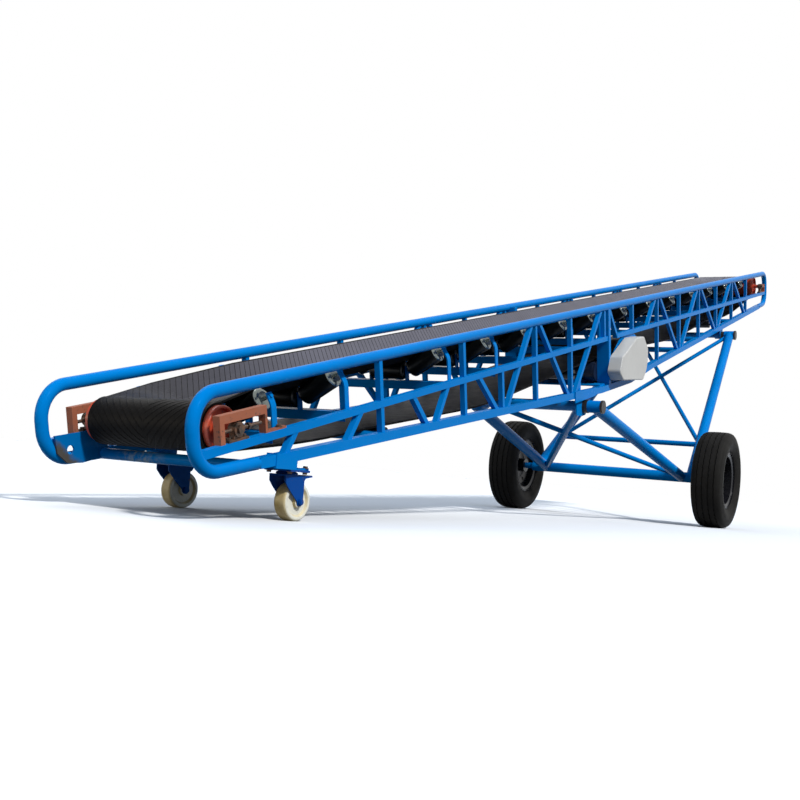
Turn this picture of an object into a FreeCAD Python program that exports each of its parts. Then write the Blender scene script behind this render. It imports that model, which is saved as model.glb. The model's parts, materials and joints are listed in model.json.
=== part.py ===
"""Mobile belt conveyor: a 9 m tubular truss with a 500 mm troughed belt, on a pair
of road wheels and two swivel castors.

Two frames are used.  The ground frame has its origin on the floor under the middle
of the machine, X along it towards the discharge end, Y across it and Z up.  The truss
frame is tilted by the incline: u runs along the side rails, w is square to them, and
its origin is on the rails' centre height above the axle.
"""
import FreeCAD, Part
import math
import os
import re

import Sketcher
from FreeCAD import Placement, Rotation, Vector

NEAR, FAR = -1, 1
SIDES = ((NEAR, "near"), (FAR, "far"))
X_AXIS, Y_AXIS, Z_AXIS = Vector(1, 0, 0), Vector(0, 1, 0), Vector(0, 0, 1)

doc = FreeCAD.newDocument("MobileBeltConveyor")

# ---------------------------------------------------------------- driving dimensions
DIMENSIONS = (
    # truss
    ("incline", 13.9, "slope of the rails, degrees"),
    ("rail_spacing", 696, "side rails, centre to centre"),
    ("rail_od", 48, "side rail tube"),
    ("tail_reach", 5517, "axle to outermost centreline of the feed end bend, along u"),
    ("head_reach", 3555, "axle to outermost centreline of the discharge end bend"),
    ("bend_radius", 120, "end bends of the rail, on its centreline"),
    ("tail_weld", 327, "feed end bend, outermost centreline to its weld to the bottom chord"),
    ("head_weld", 325, "discharge end bend, outermost centreline to its weld"),
    ("mid_drop", 202, "rail centreline to middle chord centreline"),
    ("mid_bar", 30, "middle chord, square"),
    ("chord_bar", 40, "bottom chord, square"),
    ("tail_drop", 286, "depth of the bottom chord at the feed end joint"),
    ("belly_start", 1600, "bottom chord begins to level out, feed side of the axle"),
    ("belly_start_drop", 520, "its depth there"),
    ("belly_mid", 1000, "lowest stretch of the bottom chord ends"),
    ("belly_mid_drop", 532, "its depth there"),
    ("belly_end", 480, "bottom chord has turned up to the discharge side"),
    ("belly_end_drop", 492, "its depth there"),
    ("head_drop", 325, "depth of the bottom chord at the discharge end joint"),
    ("web_bar", 25, "posts and diagonals, square"),
    ("web_step", 46, "from a post to the end of the diagonal beside it"),
    ("rear_post", 328, "first post of the even panels, feed side of the axle"),
    ("rear_pitch", 596, "panel length from there to the discharge end"),
    ("cross_od", 42, "round cross tubes between the bottom chords"),
    # belt line
    ("belt_width", 530, "belt"),
    ("belt_thick", 9, "belt"),
    ("seat_gap", 0.3, "clearance between belt and rollers"),
    ("roller_od", 89, "carrying rollers"),
    ("roller_centre", 192, "length of the centre roller"),
    ("roller_wing", 180, "length of a wing roller"),
    ("wing_angle", 30, "trough angle, degrees"),
    ("entry_angle", 22.5, "trough angle of the first idler, degrees"),
    ("wing_start", 125, "inner end of a wing roller from the centre line"),
    ("centre_drop", 150, "rail centreline to centre roller axis"),
    ("shaft_od", 16, "roller shafts"),
    ("wing_stub", 24, "shaft showing outside a wing roller"),
    ("idler_pitch", 604, "idlers on the discharge side of the drive"),
    ("idler_first", 870, "first of those, feed side of the axle"),
    ("base_bar", 40, "idler base angle"),
    ("base_wall", 5, "idler base angle"),
    ("strap_wide", 30, "idler bracket strap"),
    ("strap_thick", 6, "idler bracket strap"),
    ("strap_bend", 60, "bend of the wing bracket"),
    ("strap_tip", 14, "strap beyond the middle of the roller shaft"),
    ("drum_od", 160, "tail drum"),
    ("drum_drop", 147, "rail centreline to the tail drum axis"),
    ("drum_inset", 227, "tail drum axis inside the outermost centreline of the bend"),
    ("head_drum_od", 190, "head drum"),
    ("head_drum_drop", 124, "rail centreline to the head drum axis"),
    ("head_drum_inset", 210, "head drum axis inside the outermost centreline of the bend"),
    ("drum_overhang", 24, "drum beyond each edge of the belt"),
    ("take_up_bar", 30, "take-up frame, square bar"),
    ("drum_shaft", 36, "drum shafts"),
    ("return_od", 60, "return rollers"),
    ("sag_radius", 6000, "hanging curve of the return strand"),
    # drive
    ("drive_od", 250, "drive drum"),
    ("drive_back", 1021, "drive drum axis, feed side of the axle"),
    ("drive_drop", 378, "drive drum axis below the rails"),
    ("snub_od", 89, "snub rollers"),
    ("snub_reach", 296, "snub roller axis from the drive drum axis, along u"),
    ("snub_drop", 388, "snub roller axes below the rails"),
    ("motor_od", 130, "geared motor body"),
    ("motor_long", 340, "geared motor body"),
    ("motor_back", 1465, "motor axis, feed side of the axle"),
    ("motor_drop", 421, "motor axis below the rails"),
    ("motor_offset", 76, "output shaft from the motor axis, along u"),
    ("cover_deep", 88, "chain cover, across the machine"),
    ("cover_corner", 30, "chain cover, corners"),
    ("cover_rim", 9, "chain cover, outer rim"),
    ("upright_back", 1462, "drive station uprights, feed side of the axle"),
    ("upright_web", 80, "drive station uprights, channel web"),
    ("upright_flange", 40, "drive station uprights, channel flange"),
    ("upright_wall", 5, "drive station uprights"),
    ("plate_thick", 8, "gussets and pivot lugs"),
    ("lap_thick", 6, "lap plates of the lower pivot"),
    # wheeled frame
    ("tyre_od", 700, "road tyre"),
    ("tyre_wide", 226, "road tyre"),
    ("rim_od", 392, "road wheel rim"),
    ("rim_wide", 176, "road wheel rim, over its flanges"),
    ("hand_hole", 34, "hand holes of the wheel disc"),
    ("wheel_track", 1583, "road wheels, centre to centre"),
    ("leg_od", 76, "main legs and axle tube"),
    ("node_track", 1077, "feet of the lower legs on the axle, side to side"),
    ("upper_node_track", 1210, "feet of the upper legs on the axle, side to side"),
    ("lower_back", 1893, "lower pivot, feed side of the axle, along u"),
    ("lower_drop", 582, "lower pivot below the rails"),
    ("upper_ahead", 1662, "upper pivot, discharge side of the axle, along u"),
    ("upper_drop", 472, "upper pivot below the rails"),
    ("pivot_od", 48, "pivot shafts"),
    ("sleeve_start", 382, "centre line to the inner end of the legs' sleeves"),
    ("sleeve_long", 84, "sleeve of a leg on its pivot shaft"),
    ("cap_long", 14, "end cap of a pivot"),
    ("brace_od", 34, "light braces"),
    ("main_brace_od", 50, "main diagonal between the lower legs"),
    ("tie_od", 40, "level tie between the upper legs"),
    ("tie_share", 0.2, "height of the level tie, as a share of the upper leg"),
    ("spindle_od", 45, "axle spindle"),
    ("running_fit", 0.08, "radial clearance of a running fit"),
    # castors
    ("castor_ahead", 4634, "castor wheel centres, feed side of the axle, level"),
    ("castor_track", 560, "castor wheels, centre to centre"),
    ("castor_od", 150, "castor wheel"),
    ("castor_wide", 60, "castor wheel"),
    ("castor_trail", 44, "castor wheel axis behind its swivel axis"),
    ("castor_near_turn", 6, "near castor, degrees off straight"),
    ("castor_far_turn", 11, "far castor, degrees off straight"),
    ("castor_plate_top", 196, "top of the castor plate above the floor"),
    ("castor_plate", 8, "castor plate and the shelf above it"),
    ("chord_seat", 73.7, "top of the castor plate to the bottom chord's centre above the wheels"),
    ("castor_pin", 16, "castor wheel bolt and swivel pin"),
    ("saddle_long", 130, "saddle of a castor shelf on the bottom chord"),
    ("near_saddle_back", 139, "near saddle, feed side of the swivel axis"),
    ("far_saddle_back", 8, "far saddle, feed side of the swivel axis"),
)

sizes = doc.addObject("Spreadsheet::Sheet", "Sizes")
for row, (alias, cell, note) in enumerate(DIMENSIONS, start=1):
    sizes.set("A%d" % row, alias)
    sizes.set("B%d" % row, str(cell))
    sizes.set("C%d" % row, note)
    sizes.setAlias("B%d" % row, alias)
doc.recompute()
ALIASES = {alias for alias, cell, note in DIMENSIONS}


def full(formula):
    """The formula with each size written as a cell of the sheet."""
    def cell(match):
        word = match.group()
        return "Sizes." + word if word in ALIASES else word
    return re.sub(r"[A-Za-z_]\w*", cell, str(formula))


def val(formula):
    """The number that a formula of sizes comes to."""
    return float(sizes.evalExpression(full(formula)))


# ---------------------------------------------------------------- truss lines
CHORD_LINE = (
    ("tail_weld - tail_reach", "-tail_drop"),
    ("-belly_start", "-belly_start_drop"),
    ("-belly_mid", "-belly_mid_drop"),
    ("-belly_end", "-belly_end_drop"),
    ("head_reach - head_weld", "-head_drop"),
)
CHORD_POINTS = [(val(u), val(w)) for u, w in CHORD_LINE]


def chord_w(u):
    """Centre of the bottom chord at a place along the truss."""
    line = CHORD_POINTS
    for (u0, w0), (u1, w1) in zip(line, line[1:]):
        if u <= u1 or (u1, w1) == line[-1]:
            return w0 + (w1 - w0) * (u - u0) / (u1 - u0)


def front(share):
    """A place along the truss, as a share of the way from the drive to the feed end."""
    return -val("upright_back") - share * val("tail_reach - upright_back")


# ---------------------------------------------------------------- frames of reference
INCLINE = val("incline")
SLOPE_COS = math.cos(math.radians(INCLINE))
SLOPE_SIN = math.sin(math.radians(INCLINE))
HALF = val("rail_spacing / 2")


def chord_below_rails(x):
    """Drop from the rails' centre over the axle to the bottom chord above a floor point."""
    u = x / SLOPE_COS
    for _ in range(20):
        u = (x + chord_w(u) * SLOPE_SIN) / SLOPE_COS
    return u * SLOPE_SIN + chord_w(u) * SLOPE_COS


# the castors carry the bottom chord, and the incline takes the rails up from there
RAIL_HEIGHT = val("castor_plate_top + chord_seat") - chord_below_rails(-val("castor_ahead"))


def level(u, w):
    """Ground X (from the axle) and Z of a point of the truss frame."""
    return u * SLOPE_COS - w * SLOPE_SIN, RAIL_HEIGHT + u * SLOPE_SIN + w * SLOPE_COS


BEND_REACH = val("bend_radius + rail_od / 2")
TAIL_X = level(val("bend_radius - tail_reach"), val("-bend_radius"))[0] - BEND_REACH
CHORD_SLOPE = val("(belly_end_drop - head_drop) / (head_reach - head_weld + belly_end)")
HEAD_BEND_W = (val("-head_drop") + CHORD_SLOPE * val("head_weld - bend_radius")
               + val("bend_radius") * math.hypot(1, CHORD_SLOPE))
HEAD_X = level(val("head_reach - bend_radius"), HEAD_BEND_W)[0] + BEND_REACH
SHIFT = -(TAIL_X + HEAD_X) / 2
GROUND = Placement(Vector(SHIFT, 0, 0), Rotation())
TRUSS = GROUND.multiply(Placement(Vector(0, 0, RAIL_HEIGHT), Rotation(Y_AXIS, -INCLINE)))


def at(x=0.0, y=0.0, z=0.0, axis=Z_AXIS, turn=0.0):
    return Placement(Vector(x, y, z), Rotation(axis, turn))


# ---------------------------------------------------------------- document helpers
nodes = {}


def publish(label, item):
    """Names a finished sub-part; each one is written to its own file."""
    item.Label = label
    nodes[label] = item
    return item


def new_body(name, placement):
    item = doc.addObject("PartDesign::Body", name)
    item.Placement = placement
    return item


def origin_plane(item, role):
    return next(feature for feature in item.Origin.OriginFeatures if feature.Role == role)


def new_sketch(item, role):
    sketch = item.newObject("Sketcher::SketchObject", item.Name + "_Sketch")
    sketch.AttachmentSupport = [(origin_plane(item, role), "")]
    sketch.MapMode = "FlatFace"
    return sketch


def pin_point(sketch, geometry, end, x_formula, y_formula):
    """Ties one end of a sketch element to formulas of sizes, from the sketch origin."""
    for kind, formula in (("DistanceX", x_formula), ("DistanceY", y_formula)):
        index = sketch.addConstraint(
            Sketcher.Constraint(kind, -1, 1, geometry, end, val(formula)))
        sketch.setExpression("Constraints[%d]" % index, full(formula))


def draw_outline(sketch, corners):
    """A closed outline of straight edges; each corner is a pair of formulas."""
    points = [Vector(val(x), val(y), 0) for x, y in corners]
    first = len(sketch.Geometry)
    count = len(points)
    for index in range(count):
        edge = Part.LineSegment(points[index], points[(index + 1) % count])
        sketch.addGeometry(edge, False)
    for index in range(count):
        following = first + (index + 1) % count
        sketch.addConstraint(Sketcher.Constraint("Coincident", first + index, 2, following, 1))
        pin_point(sketch, first + index, 1, *corners[index])


def draw_circle(sketch, radius, x="0", y="0"):
    """A circle whose radius and centre are formulas of sizes."""
    circle = Part.Circle(Vector(val(x), val(y), 0), Z_AXIS, val(radius))
    index = sketch.addGeometry(circle, False)
    tie = sketch.addConstraint(Sketcher.Constraint("Radius", index, val(radius)))
    sketch.setExpression("Constraints[%d]" % tie, full(radius))
    pin_point(sketch, index, 3, x, y)


def padded(name, placement, role, depth, corners=(), circles=()):
    """A pad of one sketch, half its depth to each side of the plane."""
    item = new_body(name, placement)
    sketch = new_sketch(item, role)
    if corners:
        draw_outline(sketch, corners)
    for circle in circles:
        draw_circle(sketch, *circle)
    pad = item.newObject("PartDesign::Pad", name + "_Pad")
    pad.Profile = sketch
    pad.setExpression("Length", full(depth))
    pad.Midplane = True
    sketch.Visibility = False
    return item


def turned(name, placement, outline):
    """A turned piece about its own X axis; the outline is (along, radius) formulas."""
    item = new_body(name, placement)
    sketch = new_sketch(item, "XY_Plane")
    draw_outline(sketch, outline)
    turn = item.newObject("PartDesign::Revolution", name + "_Turn")
    turn.Profile = sketch
    turn.ReferenceAxis = (sketch, ["H_Axis"])
    turn.Angle = 360
    return item


def rounded(item, name, radius, chosen):
    """Rounds the edges of a body that a test picks."""
    tip = item.Tip
    local = item.Placement
    picked = ["Edge%d" % (index + 1) for index, edge in enumerate(item.Shape.Edges)
              if chosen(edge)]
    fillet = item.newObject("PartDesign::Fillet", "%s_%s" % (item.Name, name))
    fillet.Base = (tip, picked)
    fillet.setExpression("Radius", full(radius))
    doc.recompute()
    return fillet


def stepped(steps):
    """The outline of a shaft with steps: (start, radius) pairs and a last start."""
    outline = [(steps[0][0], "0")]
    for (start, radius), (end, _) in zip(steps, steps[1:]):
        outline += [(start, radius), (end, radius)]
    outline.append((steps[-1][0], "0"))
    return outline


def rounded_route(points, radii):
    """Lines and tangent arcs along points of a plane; one radius per inner point."""
    edges = []
    start = Vector(points[0][0], points[0][1], 0)
    for index in range(1, len(points) - 1):
        before, here, after = (Vector(x, y, 0) for x, y in points[index - 1:index + 2])
        back = (before - here).normalize()
        ahead = (after - here).normalize()
        half_gap = back.getAngle(ahead) / 2
        trim = radii[index - 1] / math.tan(half_gap)
        enter = here + back * trim
        leave = here + ahead * trim
        middle_line = (back + ahead).normalize()
        reach = radii[index - 1] / math.sin(half_gap) - radii[index - 1]
        edges.append(Part.LineSegment(start, enter))
        edges.append(Part.Arc(enter, here + middle_line * reach, leave))
        start = leave
    edges.append(Part.LineSegment(start, Vector(points[-1][0], points[-1][1], 0)))
    return edges


def swept(name, plane, points, radii, profile):
    """A bar swept along a rounded route drawn in the X-Z plane of a frame.

    profile draws the section in a sketch whose axes are across and outwards.
    """
    (x0, z0), (x1, z1) = points[:2]
    heading = math.atan2(z1 - z0, x1 - x0)
    cos_h, sin_h = math.cos(heading), math.sin(heading)
    own = [((x - x0) * cos_h + (z - z0) * sin_h, (z - z0) * cos_h - (x - x0) * sin_h)
           for x, z in points]
    start = at(x0, 0, z0, Y_AXIS, -math.degrees(heading))
    item = new_body(name, plane.multiply(start))
    section = new_sketch(item, "YZ_Plane")
    profile(section)
    route = new_sketch(item, "XZ_Plane")
    edges = rounded_route(own, radii)
    for edge in edges:
        index = route.addGeometry(edge, False)
        route.addConstraint(Sketcher.Constraint("Block", index))
    doc.recompute()
    pipe = item.newObject("PartDesign::AdditivePipe", name + "_Sweep")
    pipe.Profile = section
    pipe.Spine = (route, ["Edge%d" % (index + 1) for index in range(len(edges))])
    return item


def flat_section(across, outwards):
    wide, thick = "%s / 2" % across, "%s / 2" % outwards
    corners = (("-" + wide, "-" + thick), (wide, "-" + thick), (wide, thick), ("-" + wide, thick))
    return lambda sketch: draw_outline(sketch, corners)


def round_section(diameter):
    return lambda sketch: draw_circle(sketch, "%s / 2" % diameter)


def box(name, placement, length, width, height):
    """A box centred on its placement."""
    item = doc.addObject("Part::Box", name)
    item.setExpression("Length", full(length))
    item.setExpression("Width", full(width))
    item.setExpression("Height", full(height))
    middle = at(-val(length) / 2, -val(width) / 2, -val(height) / 2)
    item.Placement = placement.multiply(middle)
    return item


def rod(name, start, end, diameter, frame=GROUND):
    """A round bar between two points of a frame."""
    item = doc.addObject("Part::Cylinder", name)
    item.setExpression("Radius", full("%s / 2" % diameter))
    run = end - start
    item.Height = run.Length
    item.Placement = frame.multiply(Placement(start, Rotation(Z_AXIS, run)))
    return item


def group(name, parts):
    item = doc.addObject("Part::Compound", name)
    item.Links = list(parts)
    return item


def fused(name, parts):
    item = doc.addObject("Part::MultiFuse", name)
    item.Shapes = list(parts)
    return item


def trimmed(name, base, tools):
    """The base with each tool in turn cut out of it."""
    item = base
    for index, tool in enumerate(tools):
        cut = doc.addObject("Part::Cut", "%s_%d" % (name, index))
        cut.Base = item
        cut.Tool = tool
        item = cut
    return item


def copies(name, master, placements):
    """One node made of separate copies of a finished piece."""
    doc.recompute()
    piece = master.Shape
    item = doc.addObject("Part::Feature", name)
    solids = []
    for placement in placements:
        solid = piece.copy()
        solid.Placement = placement.multiply(solid.Placement)
        solids.append(solid)
    item.Shape = Part.makeCompound(solids)
    return item


# ---------------------------------------------------------------- side frames
MID_W = -val("mid_drop")
MID_TOP = MID_W + val("mid_bar / 2")
UPRIGHT_U = -val("upright_back")
MID_GAP_END = UPRIGHT_U + 186
REAR_POSTS = [-val("rear_post") + val("rear_pitch") * step for step in range(6)]


def side_plane(side):
    return TRUSS.multiply(at(0, side * HALF, 0))


def rails(side, name):
    """One tube: along the top, round both ends and back to the bottom chord."""
    tail, head = -val("tail_reach"), val("head_reach")
    start, end = CHORD_POINTS[0][0], CHORD_POINTS[-1][0]
    points = [(start, chord_w(start)), (tail, chord_w(tail)), (tail, 0), (head, 0),
              (head, chord_w(head)), (end, chord_w(end))]
    radii = [val("bend_radius")] * 4
    return publish("side_rail_" + name,
                   swept("Rail_" + name, side_plane(side), points, radii, round_section("rail_od")))


def bottom_chord(side, name, rail):
    half = "chord_bar / 2"
    lower = [(u, "%s - %s" % (w, half)) for u, w in CHORD_LINE]
    upper = [(u, "%s + %s" % (w, half)) for u, w in reversed(CHORD_LINE)]
    bar = padded("Chord_" + name, side_plane(side), "XZ_Plane", "chord_bar", lower + upper)
    return publish("bottom_chord_" + name, trimmed("ChordTrim_" + name, bar, [rail]))


def bar_between(name, side, start, end, side_size="web_bar"):
    """A square bar between two points of a side's plane."""
    (u0, w0), (u1, w1) = start, end
    long = math.hypot(u1 - u0, w1 - w0)
    turn = math.degrees(math.atan2(w1 - w0, u1 - u0))
    item = doc.addObject("Part::Box", name)
    item.Length = long
    item.setExpression("Width", full(side_size))
    item.setExpression("Height", full(side_size))
    half = val(side_size) / 2
    item.Placement = side_plane(side).multiply(at(u0, 0, w0, Y_AXIS, -turn)).multiply(
        at(0, -half, -half))
    return item


def mid_chord(side, name, rail, upright):
    """The middle chord, in two lengths with the drive station between them."""
    tail_end = -val("tail_reach")
    front = bar_between("MidFront_" + name, side, (tail_end, MID_W), (UPRIGHT_U, MID_W), "mid_bar")
    rear = bar_between("MidRear_" + name, side, (MID_GAP_END, MID_W),
                       (val("head_reach"), MID_W), "mid_bar")
    both = group("Mid_" + name, [front, rear])
    return publish("mid_chord_" + name, trimmed("MidTrim_" + name, both, [rail, upright]))


def web_lines():
    """Centre lines of the posts and diagonals of one side, feed end first."""
    step = val("web_step")
    lines = []

    def post(u, top=0.0, foot=None):
        lines.append(((u, top), (u, chord_w(u) if foot is None else foot)))

    def diagonal(u_top, u_foot, top=0.0, foot=None):
        lines.append(((u_top, top), (u_foot, chord_w(u_foot) if foot is None else foot)))

    # feed end: short struts under the middle chord, full posts between them
    diagonal(front(0.859), front(0.8824), MID_W)
    diagonal(front(0.7455), front(0.7776), MID_W)
    post(front(0.7073))
    diagonal(front(0.6412), front(0.6074), MID_W)
    diagonal(front(0.5554), front(0.5894), MID_W)
    post(front(0.5137))
    diagonal(front(0.4752), front(0.42), MID_W)
    post(front(0.4052), MID_W)
    panel, bay = front(0.293), front(0.1598)
    diagonal(panel - step, front(0.4052) + step)
    post(panel)
    diagonal(panel + step, bay - step)
    post(bay)
    diagonal(UPRIGHT_U - step - 48, bay + step)
    post(UPRIGHT_U - 48, 0.0, MID_W)
    # over the drive
    diagonal_foot = MID_GAP_END + 12
    lines.append(((UPRIGHT_U + 37, 0.0), (diagonal_foot, MID_W)))
    post(-925, 0.0, MID_W)
    diagonal(REAR_POSTS[0] - step, -588, 0.0, MID_W)
    # even panels to the discharge end
    for index, u in enumerate(REAR_POSTS[:-1]):
        post(u)
        following = REAR_POSTS[index + 1]
        if index % 2 == 0:
            diagonal(u + step, following - step)
        else:
            diagonal(following - step, u + step)
    post(REAR_POSTS[-1])
    return lines


def web(side, name, rail, mid, chord, upright):
    bars = [bar_between("Web_%s_%d" % (name, index), side, start, end)
            for index, (start, end) in enumerate(web_lines())]
    return publish("web_" + name,
                   trimmed("WebTrim_" + name, group("WebBars_" + name, bars),
                           [rail, mid, chord, upright]))


def upright(side, name, rail, chord):
    """Channel standing beside the drive, its web facing the feed end."""
    web_half = "upright_web / 2"
    outline = (
        ("0", "-" + web_half), ("upright_flange", "-" + web_half),
        ("upright_flange", "upright_wall - upright_web / 2"),
        ("upright_wall", "upright_wall - upright_web / 2"),
        ("upright_wall", "upright_web / 2 - upright_wall"),
        ("upright_flange", "upright_web / 2 - upright_wall"),
        ("upright_flange", web_half), ("0", web_half))
    foot = chord_w(UPRIGHT_U)
    middle = TRUSS.multiply(at(UPRIGHT_U, side * (HALF - 20), foot / 2))
    tall = "%.3f" % -foot
    item = padded("Upright_" + name, middle, "XY_Plane", tall, outline)
    return trimmed("UprightTrim_" + name, item, [rail, chord])


truss = {}
for side, name in SIDES:
    rail = rails(side, name)
    chord = bottom_chord(side, name, rail)
    truss[name] = (rail, chord, upright(side, name, rail, chord))
publish("drive_uprights", group("Uprights", [truss[name][2] for _, name in SIDES]))
for side, name in SIDES:
    rail, chord, channel = truss[name]
    mid = mid_chord(side, name, rail, channel)
    web(side, name, rail, mid, chord, channel)


# ---------------------------------------------------------------- cross members
CHORD_INNER = HALF - val("chord_bar / 2")
MID_INNER = HALF - val("mid_bar / 2")


def cross_tubes():
    places = [front(0.7073), front(0.293), -1000.0, REAR_POSTS[1], REAR_POSTS[2], REAR_POSTS[4]]
    tubes = [rod("CrossTube_%d" % index, Vector(u, -CHORD_INNER, chord_w(u)),
                 Vector(u, CHORD_INNER, chord_w(u)), "cross_od", TRUSS)
             for index, u in enumerate(places)]
    tail = val("259 - tail_reach")
    reach = HALF
    ends = rod("CrossTubeTail", Vector(tail, -reach, chord_w(tail)),
               Vector(tail, reach, chord_w(tail)), "cross_od", TRUSS)
    tail_tube = trimmed("CrossTubeTailTrim", ends, [truss["near"][0], truss["far"][0]])
    publish("cross_tubes", group("CrossTubes", tubes + [tail_tube]))


cross_tubes()



GUSSET_SLOT = ("17", "96", "-238")


def tail_gusset():
    """Corner plate inside the far end bend, slotted beside the bend."""
    y = HALF - val("rail_od / 2") - 4
    outline = (("27", "-175"), ("217", "-184"), ("314", "-292"), ("147", "-296"),
               ("77", "-283"), ("33", "-240"))
    place = TRUSS.multiply(at(-val("tail_reach"), y, 0))
    plate = padded("TailGusset", place, "XZ_Plane", "plate_thick", outline, [GUSSET_SLOT])
    publish("tail_gusset", trimmed("TailGussetTrim", plate, [nodes["mid_chord_far"],
                                                             nodes["cross_tubes"]]))


tail_gusset()

FRONT_IDLERS = [front(share) for share in (
    0.8848, 0.764, 0.5408, 0.4089, 0.2806, 0.1401, 0.0148)]
REAR_IDLERS = [-val("idler_first") + val("idler_pitch") * step for step in range(7)]
IDLERS = FRONT_IDLERS + REAR_IDLERS

ROLLER_R = val("roller_od / 2")
CENTRE_W = -val("centre_drop")
BASE_TOP = CENTRE_W - ROLLER_R - 5
INNER_PLATE = val("roller_centre / 2 + 2")


class Wing:
    """Lines of a wing roller at one trough angle, in the plane of its idler.

    Its top runs into the centre roller's top where the two ends meet.
    """

    def __init__(self, angle):
        self.angle = angle
        self.cos, self.sin = math.cos(math.radians(angle)), math.sin(math.radians(angle))
        self.start = Vector(val("wing_start"), 0, CENTRE_W + ROLLER_R * (1 - self.cos))
        self.flat = self.start.x - ROLLER_R * self.sin

    def along(self, distance):
        """A point of the roller's axis, from its inner end."""
        return self.start + Vector(self.cos, 0, self.sin) * distance


ENTRY, TROUGH = Wing(val("entry_angle")), Wing(val("wing_angle"))
# the belt opens out over the first idler, and the others hold it in its full trough
IDLER_ROWS = ((ENTRY, "Entry", IDLERS[:1]), (TROUGH, "Trough", IDLERS[1:]))


def station(u, side=FAR):
    """Frame at an idler, its X pointing to one side of the machine."""
    return TRUSS.multiply(at(u, 0, 0, Z_AXIS, 90 if side == FAR else -90))


def roller(name, long, left, right):
    """Roller with domed ends and a shaft that stands out by left and right."""
    body, shaft = "roller_od / 2", "shaft_od / 2"
    dome = (("0", "16"), ("3", "7"), ("8", "2"), ("14", "0"))
    outline = [("-(%s)" % left, "0"), ("-(%s)" % left, shaft), ("0", shaft)]
    outline += [(x, "%s - %s" % (body, less)) for x, less in dome]
    outline += [("%s - %s" % (long, x), "%s - %s" % (body, less)) for x, less in reversed(dome)]
    outline += [(long, shaft), ("%s + %s" % (long, right), shaft),
                ("%s + %s" % (long, right), "0")]
    return turned(name, Placement(), outline)


def idlers():
    centre = roller("CentreRoller", "roller_centre", "2", "2")
    centre_places = [station(u).multiply(at(-val("roller_centre / 2"), 0, CENTRE_W))
                     for u in IDLERS]
    rows = [copies("CentreRollers", centre, centre_places)]
    for wing, word, places in IDLER_ROWS:
        # the inner stub stops short of the bracket between the rollers
        stub = (wing.start.x - INNER_PLATE - val("strap_thick + seat_gap")) / wing.cos
        stub -= val("shaft_od / 2") * wing.sin / wing.cos
        piece = roller("WingRoller" + word, "roller_wing", "%.3f" % stub, "wing_stub")
        tilt = at(wing.start.x, 0, wing.start.z, Y_AXIS, -wing.angle)
        rows.append(copies("WingRollers" + word, piece, [
            station(u, side).multiply(tilt) for u in places for side in (NEAR, FAR)]))
    publish("idler_rollers", group("IdlerRollers", rows))


def idler_brackets():
    """Bent straps from the middle chords to the wing shafts, and plates inside them."""
    half_thick = val("strap_thick / 2")
    rows = []
    for wing, word, places in IDLER_ROWS:
        # centre line of the strap, from its foot on the middle chord to its tip
        foot_y = MID_INNER - half_thick
        normal = Vector(wing.cos, 0, wing.sin)
        seat = wing.along(val("roller_wing + wing_stub")) + normal * half_thick
        corner_w = seat.z - (foot_y - seat.x) / wing.sin * wing.cos
        tip = seat + Vector(-wing.sin, 0, wing.cos) * val("strap_tip")
        strap = swept("WingBracket" + word, Placement(), [
            (foot_y, MID_W - val("mid_bar / 2")), (foot_y, corner_w), (tip.x, tip.z)],
            [val("strap_bend")], flat_section("strap_wide", "strap_thick"))
        rows.append(copies("WingBrackets" + word, strap, [
            station(u, side) for u in places for side in (NEAR, FAR)]))
    plate_tall = CENTRE_W + 22 - BASE_TOP
    inner = box("InnerBracket", at(INNER_PLATE + half_thick, 0, BASE_TOP + plate_tall / 2),
                "strap_thick", "strap_wide", "%.3f" % plate_tall)
    rows.append(copies("InnerBrackets", inner, [
        station(u, side) for u in IDLERS for side in (NEAR, FAR)]))
    publish("idler_brackets", group("IdlerBrackets", rows))


def idler_bases():
    strap = val("strap_wide / 2")
    outline = (
        ("-strap_wide / 2", "0"), ("-strap_wide / 2", "-base_bar"),
        ("base_wall - strap_wide / 2", "-base_bar"), ("base_wall - strap_wide / 2", "-base_wall"),
        ("base_bar - strap_wide / 2", "-base_wall"), ("base_bar - strap_wide / 2", "0"))
    half_long = "rail_spacing / 2 - mid_bar / 2 - strap_thick"
    angle = padded("BaseAngle", Placement(), "XZ_Plane", "2 * (%s)" % half_long, outline)
    places = [TRUSS.multiply(at(u, 0, BASE_TOP)) for u in IDLERS]
    publish("idler_bases", copies("IdlerBases", angle, places))


idlers()
idler_brackets()
idler_bases()

# ---------------------------------------------------------------- drums and belt
class Drum:
    """Size and place of an end drum; towards points along the belt to the other end."""

    def __init__(self, word, u, w, diameter, towards):
        self.word, self.u, self.w, self.towards = word, u, w, towards
        self.diameter, self.radius = diameter, val(diameter) / 2


TAIL = Drum("tail", val("drum_inset - tail_reach"), -val("drum_drop"), "drum_od", 1)
HEAD = Drum("head", val("head_reach - head_drum_inset"), -val("head_drum_drop"),
            "head_drum_od", -1)
DRUM_HALF = "belt_width / 2 + drum_overhang"
TAKE_UP_Y = HALF - 4


def end_drum(drum):
    """Drum with a set-back end plate, a hub and a through shaft."""
    rim = "%s / 2" % drum.diameter
    inner = rim + " - 9"
    half = DRUM_HALF
    hub = "drum_shaft / 2 + 14"
    shaft = "drum_shaft / 2"
    end = "rail_spacing / 2 + 12"
    one_end = [("%s - 3" % half, rim), (half, rim + " - 3"), (half, inner),
               ("%s - 22" % half, inner), ("%s - 22" % half, hub), ("%s - 4" % half, hub),
               ("%s - 4" % half, shaft), ("%s - 2" % end, shaft), (end, shaft + " - 2"),
               (end, "0")]
    other_end = [("-(%s)" % x, y) for x, y in reversed(one_end)]
    place = TRUSS.multiply(at(drum.u, 0, drum.w, Z_AXIS, 90))
    publish(drum.word + "_drum", turned("Drum_" + drum.word, place, other_end + one_end))


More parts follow.
